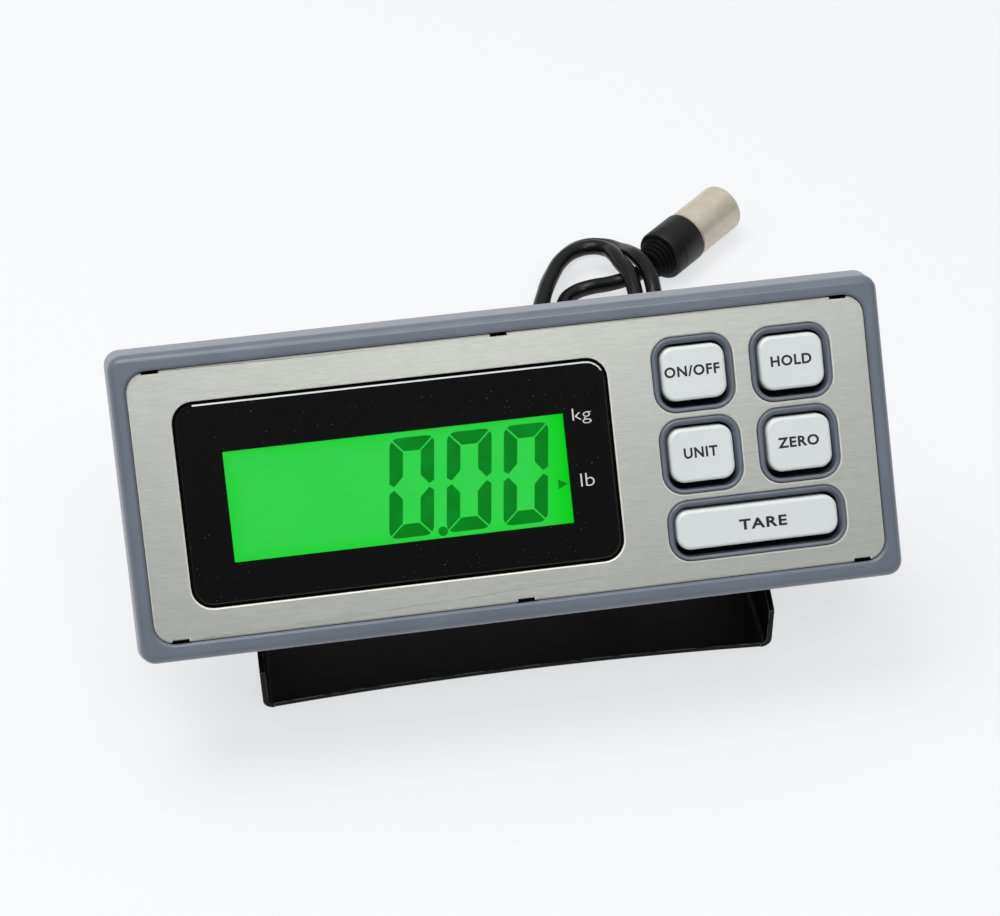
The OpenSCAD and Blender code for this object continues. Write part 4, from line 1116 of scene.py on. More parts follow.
@dataclass(frozen=True)
class SignalCable:
    """The free cable: lead, put away coil, loops and the run into the plug, as one jacket."""

    radius: float = 0.0025
    outlet: Point = (0.035, 0.026195, 0.036646)
    outlet_heading: Point = (0.0, 0.766044, -0.642788)
    coil_centre: Spot = (0.0, 0.071)
    coil_enter: float = math.radians(20)
    coil_turns: float = 3.25
    coil_middle: float = 0.026
    coil_gap: float = 0.0012
    coil_steps: int = 24
    plug_start: Point = (0.0669, 0.1264, 0.0083)
    plug_turn: float = math.radians(41)
    boot_length: float = 0.0056
    sides: int = 5
    smoothness: int = 4
    blend_top: float = 0.0362
    blend_end: float = 0.0180
    lead_route: tuple[Point, ...] = (
        (0.035, 0.036, 0.0284), (0.037, 0.046, 0.0205), (0.040, 0.055, 0.013),
        (0.041, 0.064, 0.0065),
    )
    tail_route: tuple[Point, ...] = (
        (0.030, 0.098, 0.0087), (0.0285, 0.108, 0.0085), (0.031, 0.117, 0.0082),
        (0.035, 0.126, 0.0082),
        (0.0395, 0.1335, 0.0082), (0.0445, 0.1376, 0.0082), (0.0502, 0.1382, 0.0086),
        (0.0544, 0.135, 0.0098), (0.0559, 0.1295, 0.0119), (0.057, 0.123, 0.0132),
        (0.0584, 0.1175, 0.014), (0.0588, 0.112, 0.0136), (0.058, 0.1045, 0.012),
        (0.052, 0.098, 0.0095), (0.0445, 0.0955, 0.0084), (0.0385, 0.0975, 0.0082),
        (0.0348, 0.103, 0.005), (0.0315, 0.110, 0.0028), (0.031, 0.117, 0.0026),
        (0.0322, 0.124, 0.0026), (0.0363, 0.1334, 0.0026), (0.0426, 0.1425, 0.0026),
        (0.0492, 0.1462, 0.0026), (0.0553, 0.1448, 0.0032), (0.0596, 0.137, 0.007),
        (0.0612, 0.1305, 0.011), (0.0625, 0.1245, 0.0138), (0.0642, 0.1175, 0.0148),
        (0.0646, 0.1105, 0.0146), (0.064, 0.103, 0.012), (0.061, 0.096, 0.008),
        (0.0545, 0.0905, 0.0045), (0.047, 0.0905, 0.0027), (0.042, 0.096, 0.0026),
        (0.041, 0.103, 0.0026), (0.0385, 0.1085, 0.0026), (0.0372, 0.114, 0.0026),
        (0.0384, 0.1198, 0.0026), (0.0423, 0.1234, 0.0028), (0.0476, 0.124, 0.0038),
        (0.0529, 0.122, 0.006), (0.058, 0.121, 0.008),
    )

    @property
    def pitch(self) -> float:
        """Distance between neighbouring turns of the coil."""
        return 2 * self.radius + self.coil_gap

    @property
    def layer(self) -> float:
        """Steps in one layer of the coil."""
        return self.coil_steps * self.coil_turns

    @property
    def climb(self) -> float:
        """Steps between the coil's lower and upper layer."""
        return self.coil_steps / 2

    def coil_turn(self, step: float) -> float:
        """Angle round the coil's axis at a step."""
        return self.coil_enter + 2 * math.pi * step / self.coil_steps

    def coil_radius(self, step: float) -> float:
        """Distance of the jacket's middle from the coil's axis.

        Args:
            step: Steps along the coil, from its outer start.

        Returns:
            The distance.
        """
        inner = self.coil_middle - self.pitch * self.coil_turns / 2
        past = max(0.0, self.layer - step, step - self.layer - self.climb)
        return inner + self.pitch * past / self.coil_steps

    def coil_line(self) -> list[Vector]:
        """Points of the coil: inwards in the lower layer, up, and outwards in the upper one."""
        axis = Vector((*self.coil_centre, self.radius))
        points = []
        for step in range(int(2 * self.layer + self.climb) + 1):
            turn = self.coil_turn(step)
            radius = self.coil_radius(step)
            rise = min(1.0, max(0.0, (step - self.layer) / self.climb))
            points.append(
                axis + Vector((radius * math.cos(turn), radius * math.sin(turn), self.pitch * rise))
            )
        return points

    def line(self) -> list[Vector]:
        """All points of the cable, from the outlet to the plug's bushing."""
        step = 2 * self.radius
        coil = self.coil_line()
        start_turn, end_turn = self.coil_turn(0), self.coil_turn(len(coil) - 1)
        start_heading = Vector((-math.sin(start_turn), math.cos(start_turn), 0))
        end_heading = Vector((-math.sin(end_turn), math.cos(end_turn), 0))
        plug_heading = Vector((math.cos(self.plug_turn), math.sin(self.plug_turn), 0))
        outlet = Vector(self.outlet)
        plug = Vector(self.plug_start)
        lead = [outlet, outlet + step * Vector(self.outlet_heading), *map(Vector, self.lead_route)]
        lead += [coil[0] - 2 * step * start_heading, coil[0] - step * start_heading]
        tail = [coil[-1] + step * end_heading, coil[-1] + 2 * step * end_heading]
        tail += [*map(Vector, self.tail_route), plug - step * plug_heading]
        tail += [plug + self.boot_length * plug_heading]
        return lead + coil + tail

    def _curve(self, name: str, depth: float) -> bpy.types.Mesh:
        """Sweeps a round section along the line.

        Args:
            name: The curve's name.
            depth: The section's radius, or nought for a bare wire.

        Returns:
            The swept mesh.
        """
        points = self.line()
        curve = bpy.data.curves.new(name, "CURVE")
        curve.dimensions = "3D"
        curve.resolution_u = self.smoothness
        curve.bevel_depth = depth
        curve.bevel_resolution = self.sides
        curve.use_fill_caps = depth > 0
        spline = curve.splines.new("BEZIER")
        spline.bezier_points.add(len(points) - 1)
        for knot, point in zip(spline.bezier_points, points):
            knot.co = point
            knot.handle_left_type = "AUTO"
            knot.handle_right_type = "AUTO"
        return mesh_of(curve)

    def build(self, with_pieces: Sequence[bpy.types.Object]) -> bpy.types.Object:
        """Args:
            with_pieces: The plug's pieces and the coil's strap; not used.

        Returns:
            The jacket.
        """
        wire = self._curve("cable_wire", 0.0)
        bpy.data.meshes.remove(wire)
        mesh = self._curve("signal_cable", self.radius)
        for vertex in mesh.vertices:
            vertex.co.z = max(vertex.co.z, 0.0)
        made = dress("signal_cable", mesh, [CABLE])
        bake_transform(made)
        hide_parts("cable_lead", "cable_coil", "cable_tail")
        return made


@dataclass(frozen=True)
class Plug:
    """The round plug: ribbed boot, black bushing and plated nose, lying on the table."""

    start: Point = SignalCable.plug_start
    turn: float = SignalCable.plug_turn
    cable_radius: float = SignalCable.radius
    boot_length: float = SignalCable.boot_length
    boot_tip: float = 0.0046
    boot_root: float = 0.0070
    boot_play: float = 0.00002
    boot_ribs: int = 4
    rib_depth: float = 0.0006
    rib_fullness: float = 0.6
    rib_steps: int = 8
    bushing_radius: float = 0.0083
    bushing_length: float = 0.0133
    seam_share: float = 0.3
    near_rim_share: float = 0.6
    shell_radius: float = 0.008
    shell_length: float = 0.0205
    shell_wall: float = 0.001
    shell_round: float = 0.0011
    mouth_ease: float = 0.0003
    step_length: float = 0.0006
    step_depth: float = 0.0003
    edge: float = 0.0004

    def _turned(
        self, profile: Sequence[Spot], name: str, finish: Finish, slot: Slot, node: str
    ) -> bpy.types.Object:
        """Spins a profile into a piece of the plug.

        Args:
            profile: Its radii and its distances from the plug's start.
            name: The piece's name.
            finish: Its finish.
            slot: Its material slot.
            node: The CAD node that it replaces.

        Returns:
            The piece.
        """
        shape = Shape()
        shape.lathe(profile)
        turn = Matrix.Rotation(self.turn, 4, "Z") @ Matrix.Rotation(math.pi / 2, 4, "Y")
        piece = shape.piece(name, [finish], Matrix.Translation(self.start) @ turn)
        return carry(piece, Body.STAND, slot, node)

    def build(self) -> list[bpy.types.Object]:
        """Makes the plug's outer pieces.

        Returns:
            Boot, bushing, nose and the CAD nodes inside it.
        """
        made = [self._boot(), self._bushing(), self._nose()]
        return made + [frame["nodes"]["plug_core"], frame["nodes"]["plug_contacts"]]

    def _boot(self) -> bpy.types.Object:
        """Soft boot with rounded ribs."""
        total = self.boot_ribs * self.rib_steps
        bore = self.cable_radius + self.boot_play
        profile = [(bore, 0.0)]
        for step in range(total + 1):
            share = step / total
            rib = abs(math.sin(math.pi * self.boot_ribs * share)) ** self.rib_fullness
            radius = self.boot_tip + (self.boot_root - self.boot_tip) * share
            profile.append((radius - self.rib_depth * (1 - rib), self.boot_length * share))
        profile += [(bore, self.boot_length), profile[0]]
        return self._turned(profile, "plug_boot_ribs", RUBBER, Slot.PLUG_RUBBER, "plug_boot")

    def _bushing(self) -> bpy.types.Object:
        """Bushing with rounded rims and a seam."""
        low = self.boot_length
        high = low + self.bushing_length
        radius = self.bushing_radius
        seam = low + self.seam_share * self.bushing_length
        edge = self.edge
        near = self.near_rim_share * edge
        far = edge / 3
        profile = [
            (0, low), (radius - 2 * edge, low), (radius - near, low + near),
            (radius, low + 2 * edge), (radius, seam - edge / 2), (radius - edge / 2, seam),
            (radius, seam + edge / 2), (radius, high - edge), (radius - far, high - far),
            (radius - edge, high), (0, high),
        ]
        return self._turned(
            profile, "plug_bushing_turned", BUSHING, Slot.PLUG_RUBBER, "plug_bushing"
        )

    def _nose(self) -> bpy.types.Object:
        """Plated nose: hollow, with a shallow step by the bushing and a rounded mouth."""
        low = self.boot_length + self.bushing_length
        high = low + self.shell_length
        radius = self.shell_radius
        inner = radius - self.shell_wall
        step = low + self.step_length
        rim = self.edge / 4
        profile = [(inner, low), (radius - self.step_depth, low), (radius - self.step_depth, step)]
        profile += [(radius - rim, step), (radius, step + rim)]
        for share in range(ROUND_STEPS + 1):
            turn = math.pi / 2 * share / ROUND_STEPS
            inset = self.shell_round * (1 - math.cos(turn))
            profile.append((radius - inset, high - self.shell_round * (1 - math.sin(turn))))
        profile += [(inner + self.mouth_ease, high), (inner, high - self.mouth_ease), (inner, low)]
        return self._turned(profile, "plug_nose_plated", NICKEL, Slot.NICKEL, "plug_shell")


@dataclass(frozen=True)
class CoilStrap:
    """The woven strap round the put away coil."""

    turn: float = math.radians(250)
    strap_width: float = 0.009
    thickness: float = 0.0005
    corner: float = 0.0024
    play: float = 0.0002
    lift: float = 0.00002
    cable: SignalCable = SignalCable()

    def build(self) -> bpy.types.Object:
        """Wraps a flat band round the coil's turns."""
        cable = self.cable
        inner = cable.coil_radius(cable.layer) - cable.radius
        outer = cable.coil_radius(0) + cable.radius
        top = 4 * cable.radius + cable.coil_gap
        half = self.strap_width / 2
        middle = top / 2 + self.thickness / 2 + self.lift
        width = outer - inner + self.play
        inside = Level(width, top - self.thickness, self.corner, HAIR - half)
        rim = inside.inset(-self.thickness, -half)
        levels = [rim, rim.inset(0, half), inside.inset(0, half - HAIR), inside]
        shape = Shape()
        loops = shape.loft(levels, start=False, end=False)
        shape.walls([loops[-1], loops[0]])
        shape.soften(self.thickness / 4)
        place = (
            Matrix.Translation((*cable.coil_centre, middle))
            @ Matrix.Rotation(self.turn, 4, "Z")
            @ Matrix.Translation(((inner + outer) / 2, 0, 0))
            @ Matrix.Rotation(math.pi / 2, 4, "X")
        )
        return carry(shape.piece("coil_strap", [STRAP], place), Body.STAND, Slot.PLUG_RUBBER)


@dataclass(frozen=True)
class KeyPlace:
    """One key: its body, and its legend with its width, place and spacing."""

    body: Body
    legend: str
    legend_width: float
    shift: Spot = (0.0, 0.0)
    spacing: float = 1.12
    cap_shift: float = -0.0001

    @property
    def node(self) -> str:
        """The key's CAD node, which has its body's name."""
        return self.body.value

    @property
    def name(self) -> str:
        """What the key is called."""
        return self.node.removeprefix("key_")


@dataclass(frozen=True)
class Keypad:
    """Five key caps with printed legends."""

    flange_reach: float = 0.0011
    flange_thickness: float = 0.001
    collar_reach: float = 0.0019
    collar_corner: float = 0.0054
    collar_crest: float = 0.0009
    collar_slope: float = 0.0007
    well_drop: float = 0.00055
    cap_corner: float = 0.0035
    top_round: float = 0.0009
    top_drop: float = 0.0011
    side_taper: float = 0.00015
    lower_gap: float = 0.0008
    upper_gap: float = 0.0003
    side_gap: float = 0.0002
    legend_height: float = 0.0028
    legend_depth: float = 0.00003
    legend_boldness: float = 0.032
    keys: tuple[KeyPlace, ...] = (
        KeyPlace(Body.KEY_ON_OFF, "ON/OFF", 0.0145, (-0.0006, 0.0008)),
        KeyPlace(Body.KEY_HOLD, "HOLD", 0.0108, (-0.0003, 0.0007)),
        KeyPlace(Body.KEY_UNIT, "UNIT", 0.0089, (-0.00045, 0.0008)),
        KeyPlace(Body.KEY_ZERO, "ZERO", 0.0109, (-0.00045, 0.0007)),
        KeyPlace(Body.KEY_TARE, "TARE", 0.0126, (0.0011, 0.0002), 1.15, -0.0003),
    )

    def cap_level(self, key: KeyPlace, z: float) -> Level:
        """The cap's outline at the panel.

        Args:
            key: The key.
            z: The outline's height.

        Returns:
            The outline.
        """
        extent = head_extent(key.node)
        width = extent.width - 2 * self.flange_reach
        height = extent.height - 2 * self.flange_reach
        return Level(width, height, self.cap_corner, z, *extent.centre)

    def build(self) -> None:
        """Makes every cap and its legend."""
        for key in self.keys:
            self._cap(key)
            self._legend(key)

    def _cap(self, key: KeyPlace) -> None:
        """Makes a cap that is rounded above its flange, which is painted near black as the shade in
        the well around it.

        Args:
            key: The key.
        """
        extent = head_extent(key.node)
        base = self.cap_level(key, extent.low.z)
        lifted = replace(
            base, width=base.width - self.side_gap, x=base.x + key.cap_shift,
            height=base.height - self.lower_gap - self.upper_gap,
            y=base.y + (self.lower_gap - self.upper_gap) / 2,
        )
        wall = lifted.inset(self.side_taper, extent.high.z - self.top_drop)
        flange_top = extent.low.z + self.flange_thickness
        wide = base.inset(-self.flange_reach, extent.low.z)
        levels = [wide, wide.inset(0, flange_top), lifted.inset(0, flange_top + HAIR)]
        levels += round_over(wall, extent.high.z, self.top_round, self.top_drop)
        shape = Shape()
        shape.loft(levels)
        # Faces on the flange take the near black painted shade.
        for face in shape.bm.faces:
            face.material_index = 1 if face.calc_center_median().z < flange_top + HAIR else 0
        cap = shape.piece("cap_" + key.name, [KEY, FLANGE_SHADE])
        even_normals(cap)
        carry(cap, key.body, Slot.KEY, key.node)

    def _legend(self, key: KeyPlace) -> None:
        """Prints a cap's legend.

        Args:
            key: The key.
        """
        extent = head_extent(key.node)
        across, up = (middle + shift for middle, shift in zip(extent.centre, key.shift))
        lettering = Lettering(
            key.legend, (across, up, extent.high.z - self.legend_depth / 2),
            self.legend_height, key.legend_width, self.legend_boldness, key.spacing,
        )
        made = lettering.build("legend_" + key.name, LEGEND, self.legend_depth)
        carry(made, key.body, Slot.KEY)


@dataclass(frozen=True)
class Lettering:
    """A short word set flat on the head."""

    text: str
    middle: Point
    height: float
    width: float
    boldness: float
    spacing: float = 1.0
    smoothness: int = 4
    merge: float = 0.0001

    def build(self, name: str, finish: Finish, thickness: float) -> bpy.types.Object:
        """Sets the word, makes it a mesh, sizes it and lays it in place.

        Args:
            name: The piece's name.
            finish: Its ink.
            thickness: How thick the print is.

        Returns:
            The word as an object.
        """
        words = bpy.data.curves.new(name, "FONT")
        words.body = self.text
        words.space_character = self.spacing
        words.offset = self.boldness
        words.resolution_u = self.smoothness
        mesh = mesh_of(words)
        shape = Shape()
        shape.bm.from_mesh(mesh)
        bpy.data.meshes.remove(mesh)
        bmesh.ops.remove_doubles(shape.bm, verts=shape.bm.verts, dist=self.merge)
        places = [vert.co for vert in shape.bm.verts]
        low = Vector((min(spot.x for spot in places), min(spot.y for spot in places), 0))
        high = Vector((max(spot.x for spot in places), max(spot.y for spot in places), 0))
        bmesh.ops.translate(shape.bm, vec=-(low + high) / 2, verts=shape.bm.verts)
        size = (self.width / (high.x - low.x), self.height / (high.y - low.y), 1)
        bmesh.ops.scale(shape.bm, vec=size, verts=shape.bm.verts)
        shape.thicken(shape.bm.faces[:], thickness)
        return shape.piece(name, [finish], HEAD @ Matrix.Translation(self.middle))


@dataclass(frozen=True)
class Display:
    """The lit display: its glass, three digits, point and pointer."""

    view_left: float = 0.01185
    view_right: float = 0.01245
    view_top: float = 0.0136
    view_bottom: float = 0.0109
    view_corner: float = 0.0003
    window_gap: float = 0.0009
    digit_width: float = 0.0116
    digit_height: float = 0.0257
    digit_middle: float = -0.0022
    digit_places: tuple[float, ...] = (-0.0261, -0.0112, 0.0036)
    slant: float = math.radians(6.4)
    bar: float = 0.0035
    corner: float = 0.0022
    corner_steps: int = 6
    seam: float = 0.0004
    tip_gap: float = 0.0009
    tip_share: float = 0.36
    tip_slopes: tuple[Point, ...] = ((1, -0.92, 0), (-0.65, -1, 0))
    point_place: Spot = (-0.0193, -0.0145)
    point_radius: float = 0.00125
    point_sides: int = 20
    pointer_place: Spot = (0.0125, -0.0059)
    pointer_size: Spot = (0.0024, 0.0026)
    ink_depth: float = 0.00004

    def view(self, z: float) -> Level:
        """The display's visible area, from the lens that frames it.

        Args:
            z: The height that it is wanted at.

        Returns:
            Its outline.
        """
        lens = head_extent("window_lens")
        left = lens.low.x - self.window_gap + self.view_left
        right = lens.high.x + self.window_gap - self.view_right
        low = lens.low.y - self.window_gap + self.view_bottom
        high = lens.high.y + self.window_gap - self.view_top
        middle = ((left + right) / 2, (low + high) / 2)
        return Level(right - left, high - low, self.view_corner, z, *middle)

    def build(self) -> None:
        """Lights the glass and lays the segments on it."""
        glass = frame["nodes"]["lcd_glass"]
        front = head_extent("lcd_glass").high.z
        view = self.view(front)
        middle = HEAD @ Vector((view.x, view.y, front))
        rise = view.height / 2 * math.sin(math.pi / 2 - HEAD_TILT)
        lit = Backlit("display_glow", centre=(middle.x, middle.z), half=(view.width / 2, rise))
        glass.data.materials.clear()
        glass.data.materials.append(lit.material())
        shape = Shape()
        for place in self.digit_places:
            self._nought(shape, place)
        self._dot(shape)
        self._pointer(shape)
        shape.thicken(shape.bm.faces[:], self.ink_depth)
        bmesh.ops.translate(shape.bm, vec=(0, 0, front), verts=shape.bm.verts)
        carry(shape.piece("display_segments", [INK]), Body.HEAD, Slot.DISPLAY)

    def _nought(self, shape: Shape, place: float) -> None:
        """Adds one nought: a quarter is cut to shape and mirrored twice.

        Args:
            shape: The segments so far.
            place: The digit's middle from left to right.
        """
        quarter = bmesh.new()
        half_w = self.digit_width / 2
        half_h = self.digit_height / 2
        verts = bmesh.ops.create_grid(quarter, x_segments=1, y_segments=1, size=0.5)["verts"]
        bmesh.ops.scale(quarter, vec=(half_w, half_h, 1), verts=verts)
        bmesh.ops.translate(quarter, vec=(-half_w / 2, half_h / 2, 0), verts=verts)
        outer = [vert for vert in verts if vert.co.x < -half_w / 2 and vert.co.y > half_h / 2]
        bmesh.ops.bevel(
            quarter, geom=outer, offset=self.corner, offset_type="OFFSET",
            segments=self.corner_steps, profile=0.5, affect="VERTICES", clamp_overlap=False,
            material=-1,
        )
        inner_x = self.bar - half_w
        inner_y = half_h - self.bar
        self._slice(quarter, (inner_x, 0, 0), (1, 0, 0))
        self._slice(quarter, (0, inner_y, 0), (0, 1, 0))
        middles = {face: face.calc_center_median() for face in quarter.faces}
        hollow = [face for face, at in middles.items() if at.x > inner_x and at.y < inner_y]
        bmesh.ops.delete(quarter, geom=hollow, context="FACES")
        mitre = Vector((1, 1, 0)).normalized()
        corner = Vector((inner_x, inner_y, 0))
        for side in (-1, 1):
            self._slice(quarter, corner + side * self.seam / 2 * mitre, mitre)
        seam = [
            face for face in quarter.faces
            if abs((face.calc_center_median() - corner).dot(mitre)) < self.seam / 2
        ]
        bmesh.ops.delete(quarter, geom=seam, context="FACES")
        tip = Vector((-half_w + self.tip_share * self.bar, self.tip_gap / 2, 0))
        for normal in self.tip_slopes:
            self._slice(quarter, tip, normal, clear=True)
        for axis in ("X", "Y"):
            geom = quarter.verts[:] + quarter.edges[:] + quarter.faces[:]
            bmesh.ops.mirror(quarter, geom=geom, matrix=Matrix(), merge_dist=MERGE, axis=axis)
        bmesh.ops.dissolve_limit(
            quarter, angle_limit=FLAT_ANGLE, verts=quarter.verts, edges=quarter.edges
        )
        lean = Matrix.Identity(4)
        lean[0][1] = math.tan(self.slant)
        lean = Matrix.Translation((place, self.digit_middle, 0)) @ lean
        bmesh.ops.transform(quarter, matrix=lean, verts=quarter.verts)
        for face in quarter.faces:
            if face.normal.z < 0:
                face.normal_flip()
        mesh = bpy.data.meshes.new("nought")
        quarter.to_mesh(mesh)
        quarter.free()
        shape.bm.from_mesh(mesh)
        bpy.data.meshes.remove(mesh)

    @staticmethod
    def _slice(mesh: bmesh.types.BMesh, place: Point, normal: Point, clear: bool = False) -> None:
        """Cuts a mesh by a plane.

        Args:
            mesh: What is cut.
            place: A point of the plane.
            normal: The plane's direction.
            clear: Whether what lies past the plane is taken away.
        """
        bmesh.ops.bisect_plane(
            mesh, geom=mesh.verts[:] + mesh.edges[:] + mesh.faces[:], dist=MERGE / 10,
            plane_co=place, plane_no=normal, clear_outer=clear,
        )

    def _dot(self, shape: Shape) -> None:
        """Adds the decimal point.

        Args:
            shape: The segments so far.
        """
        made = bmesh.ops.create_circle(
            shape.bm, cap_ends=True, segments=self.point_sides, radius=self.point_radius
        )
        bmesh.ops.translate(shape.bm, vec=(*self.point_place, 0), verts=made["verts"])

    def _pointer(self, shape: Shape) -> None:
        """Adds the small pointer beside the unit, from a triangle 1.5 wide and root 3 high.

        Args:
            shape: The segments so far.
        """
        verts = bmesh.ops.create_circle(shape.bm, cap_ends=True, segments=3, radius=1.0)["verts"]
        turn = Matrix.Rotation(-math.pi / 2, 3, "Z")
        bmesh.ops.rotate(shape.bm, cent=(0, 0, 0), matrix=turn, verts=verts)
        size = (self.pointer_size[0] / 1.5, self.pointer_size[1] / math.sqrt(3), 1)
        bmesh.ops.scale(shape.bm, vec=size, verts=verts)
        bmesh.ops.translate(shape.bm, vec=(*self.pointer_place, 0), verts=verts)


@dataclass(frozen=True)
class Window:
    """The lens: black printed border round a clear field, bevelled in front, with a painted
    highlight on the upper bevel.
    """

    corner: float = 0.0047
    bevel: float = 0.0004
    unit_words: tuple[tuple[str, float, float, float, float], ...] = (
        ("kg", 0.0192, 0.0113, 0.0041, 0.0049),
        ("lb", 0.0190, -0.0052, 0.0034, 0.0036),
    )
    word_boldness: float = -0.012
    print_depth: float = 0.00003

    def build(self, display: Display) -> None:
        """Makes the lens and its two unit words.

        Args:
            display: The display that the clear field shows.
        """
        extent = head_extent("window_lens")
        front, back = extent.high.z, extent.low.z
        edge = Level(extent.width, extent.height, self.corner, back, *extent.centre)
        shape = Shape()
        levels = [edge, edge.inset(0, front - self.bevel), edge.inset(self.bevel, front)]
        loops = shape.loft(levels, start=False, end=False)
        for ring, z in ((loops[0], back), (loops[-1], front)):
            field_loop = shape.outline(display.view(z))
            shape.fill(ring, field_loop)
            bmesh.ops.edgeloop_fill(shape.bm, edges=field_loop)
        view = display.view(front)
        for face in shape.bm.faces:
            middle = face.calc_center_median()
            aside = (abs(middle.x - view.x), abs(middle.y - view.y))
            inside = aside[0] < view.width / 2 and aside[1] < view.height / 2
            sloped = front - self.bevel < middle.z < front - MERGE
            upper = middle.y > extent.high.y - self.corner / 2
            # The upper bevel faces take the pale painted highlight.
            lit = sloped and upper and middle.x > extent.low.x + self.corner
            face.material_index = 1 if inside else 2 if lit else 0
        lens = shape.piece("lens_printed", [BLACK_LENS, CLEAR_LENS, LENS_TOP_HIGHLIGHT])
        carry(lens, Body.HEAD, Slot.LENS, "window_lens")
        for word, x, y, height, width in self.unit_words:
            lettering = Lettering(word, (x, y, front), height, width, self.word_boldness)
            made = lettering.build("unit_" + word, LENS_LEGEND, self.print_depth)
            carry(made, Body.HEAD, Slot.LENS)


@dataclass(frozen=True)
class FrontCasing:
    """The moulded front: rounded frame, recessed panel, key collars and wells."""

    side_draft: float = 0.0012
    corner: float = 0.0040
    edge_round: float = 0.0022
    edge_drop: float = 0.0036
    edge_steps: int = 8
    wall: float = 0.0022
    plate_corner: float = 0.0052
    plate_gap: float = 0.00025
    plate_drop: float = 0.0011
    plate_thickness: float = 0.0008
    panel: float = 0.0024
    inner_round: float = 0.0007
    inner_drop: float = 0.0010
    window_corner: float = 0.0056
    window_gap: float = 0.0009
    lens_seat: float = 0.0032
    view_gap: float = 0.0003
    collar_top: float = 0.0006
    collar_round: float = 0.0004
    collar_steps: int = 4
    tab_x: float = 0.089
    tab_width: float = 0.0044
    tab_notch: float = 0.0007
    slot_side: float = 0.0006
    slot_show: float = 0.0009
    tab_bevel: float = 0.00015

    def recess(self, z: float) -> Level:
        """Outline of the recess that holds the faceplate.

        Args:
            z: Its height.

        Returns:
            The outline.
        """
        extent = head_extent("faceplate")
        plate = Level(extent.width, extent.height, self.plate_corner, z)
        return plate.inset(-self.plate_gap, z)

    def window(self, z: float) -> Level:
        """Outline of the opening that holds the lens.

        Args:
            z: Its height.

        Returns:
            The outline.
        """
        lens = head_extent("window_lens")
        grow = 2 * self.window_gap
        return Level(lens.width + grow, lens.height + grow, self.window_corner, z, *lens.centre)

    def tab_blocks(self, half: float, rows: Sequence[float], low: float, high: float) -> Shape:
        """Adds a block at each of the faceplate's six tabs.

        Args:
            half: Half of a block's width.
            rows: Distances of its two sides from the face's middle line.
            low: Height of its underside.
            high: Height of its top.

        Returns:
            The blocks.
        """
        blocks = Shape()
        for x in (-self.tab_x, 0, self.tab_x):
            for side in (-1, 1):
                y_low, y_high = sorted(side * row for row in rows)
                blocks.block((x - half, y_low, low), (x + half, y_high, high))
        return blocks

    def collar_levels(self, keypad: Keypad, key: KeyPlace) -> list[Level]:
        """Levels of a key's collar, from the panel up and down into the well.

        Args:
            keypad: The sizes that all keys share.
            key: The key.

        Returns:
            The levels in order.
        """
        floor = -self.plate_drop - self.plate_thickness
        cap = keypad.cap_level(key, floor).inset(-keypad.collar_reach, floor)
        outer = replace(cap, corner=keypad.collar_corner)
        top = -self.collar_top
        well = keypad.collar_crest + keypad.collar_slope
        return [
            outer,
            *round_over(outer, top, self.collar_round, self.collar_round, self.collar_steps),
            outer.inset(keypad.collar_crest - self.collar_round, top - HAIR),
            outer.inset(keypad.collar_crest, top - self.collar_round / 2),
            outer.inset(well, floor).lowered(keypad.well_drop),
            outer.inset(well, floor - self.panel).lowered(keypad.well_drop),
        ]

    def build(self, keypad: Keypad, display: Display) -> None:
        """Makes the front casing as one closed shell.

        Args:
            keypad: The keys that its wells take.
            display: The display that its opening shows.
        """
        extent = head_extent("front_bezel")
        floor = -self.plate_drop - self.plate_thickness
        back = floor - self.panel
        grown = Level(extent.width, extent.height, self.corner, extent.low.z)
        front = replace(grown.inset(self.side_draft, -self.edge_drop), corner=self.corner)
        cavity = replace(
            front.inset(self.wall, extent.low.z + HAIR), corner=self.corner - self.side_draft
        )
        recess = self.recess(floor)
        shape = Shape()
        rounded = round_over(front, 0, self.edge_round, self.edge_drop, self.edge_steps)
        inside = round_over(recess, -HAIR, -self.inner_round, self.inner_drop)
        body = shape.loft([grown, *rounded, *reversed(inside), recess], False, False)
        hollow = shape.loft([cavity, cavity.inset(0, back)], False, False)
        shape.walls([body[0], hollow[0]])
        holes_front, holes_back = [], []
        for key in keypad.keys:
            loops = shape.loft(self.collar_levels(keypad, key), False, False)
            holes_front.append(loops[0])
            holes_back.append(loops[-1])
        window = self.window(floor)
        before_seat = set(shape.bm.faces)
        seat = shape.loft([window, window.inset(0, -self.lens_seat)], False, False)
        view = display.view(-self.lens_seat).inset(-self.view_gap, -self.lens_seat)
        throat = shape.loft([view, view.inset(0, back)], False, False)
        shape.fill(seat[-1], throat[0])
        # The seat and throat faces take the near black painted shade.
        for face in set(shape.bm.faces) - before_seat:
            face.material_index = 1
        shape.fill(body[-1], seat[0], *holes_front)
        shape.fill(hollow[-1], throat[-1], *holes_back)
        casing = shape.piece("front_casing", [CASING, RECESS_SHADE])
        cut(casing, self._slots(back))
        shade(casing.data)
        even_normals(casing)
        carry(casing, Body.HEAD, Slot.CASING, "front_bezel")

    def _slots(self, back: float) -> Shape:
        """Blocks that cut the slots for the faceplate's six bent tabs, and give the slot walls the
        near black painted shade.

        Args:
            back: Height of the panel's rear face.

        Returns:
            The blocks.
        """
        edge = head_extent("faceplate").height / 2
        near = edge - self.tab_notch - self.plate_thickness - self.slot_side
        half = self.tab_width / 2 + self.slot_side
        rows = (near, edge + self.slot_show)
        slots = self.tab_blocks(half, rows, back - OVERRUN, -self.plate_drop)
        # The slot walls take the casing's near black painted shade.
        for face in slots.bm.faces:
            face.material_index = 1
        return slots


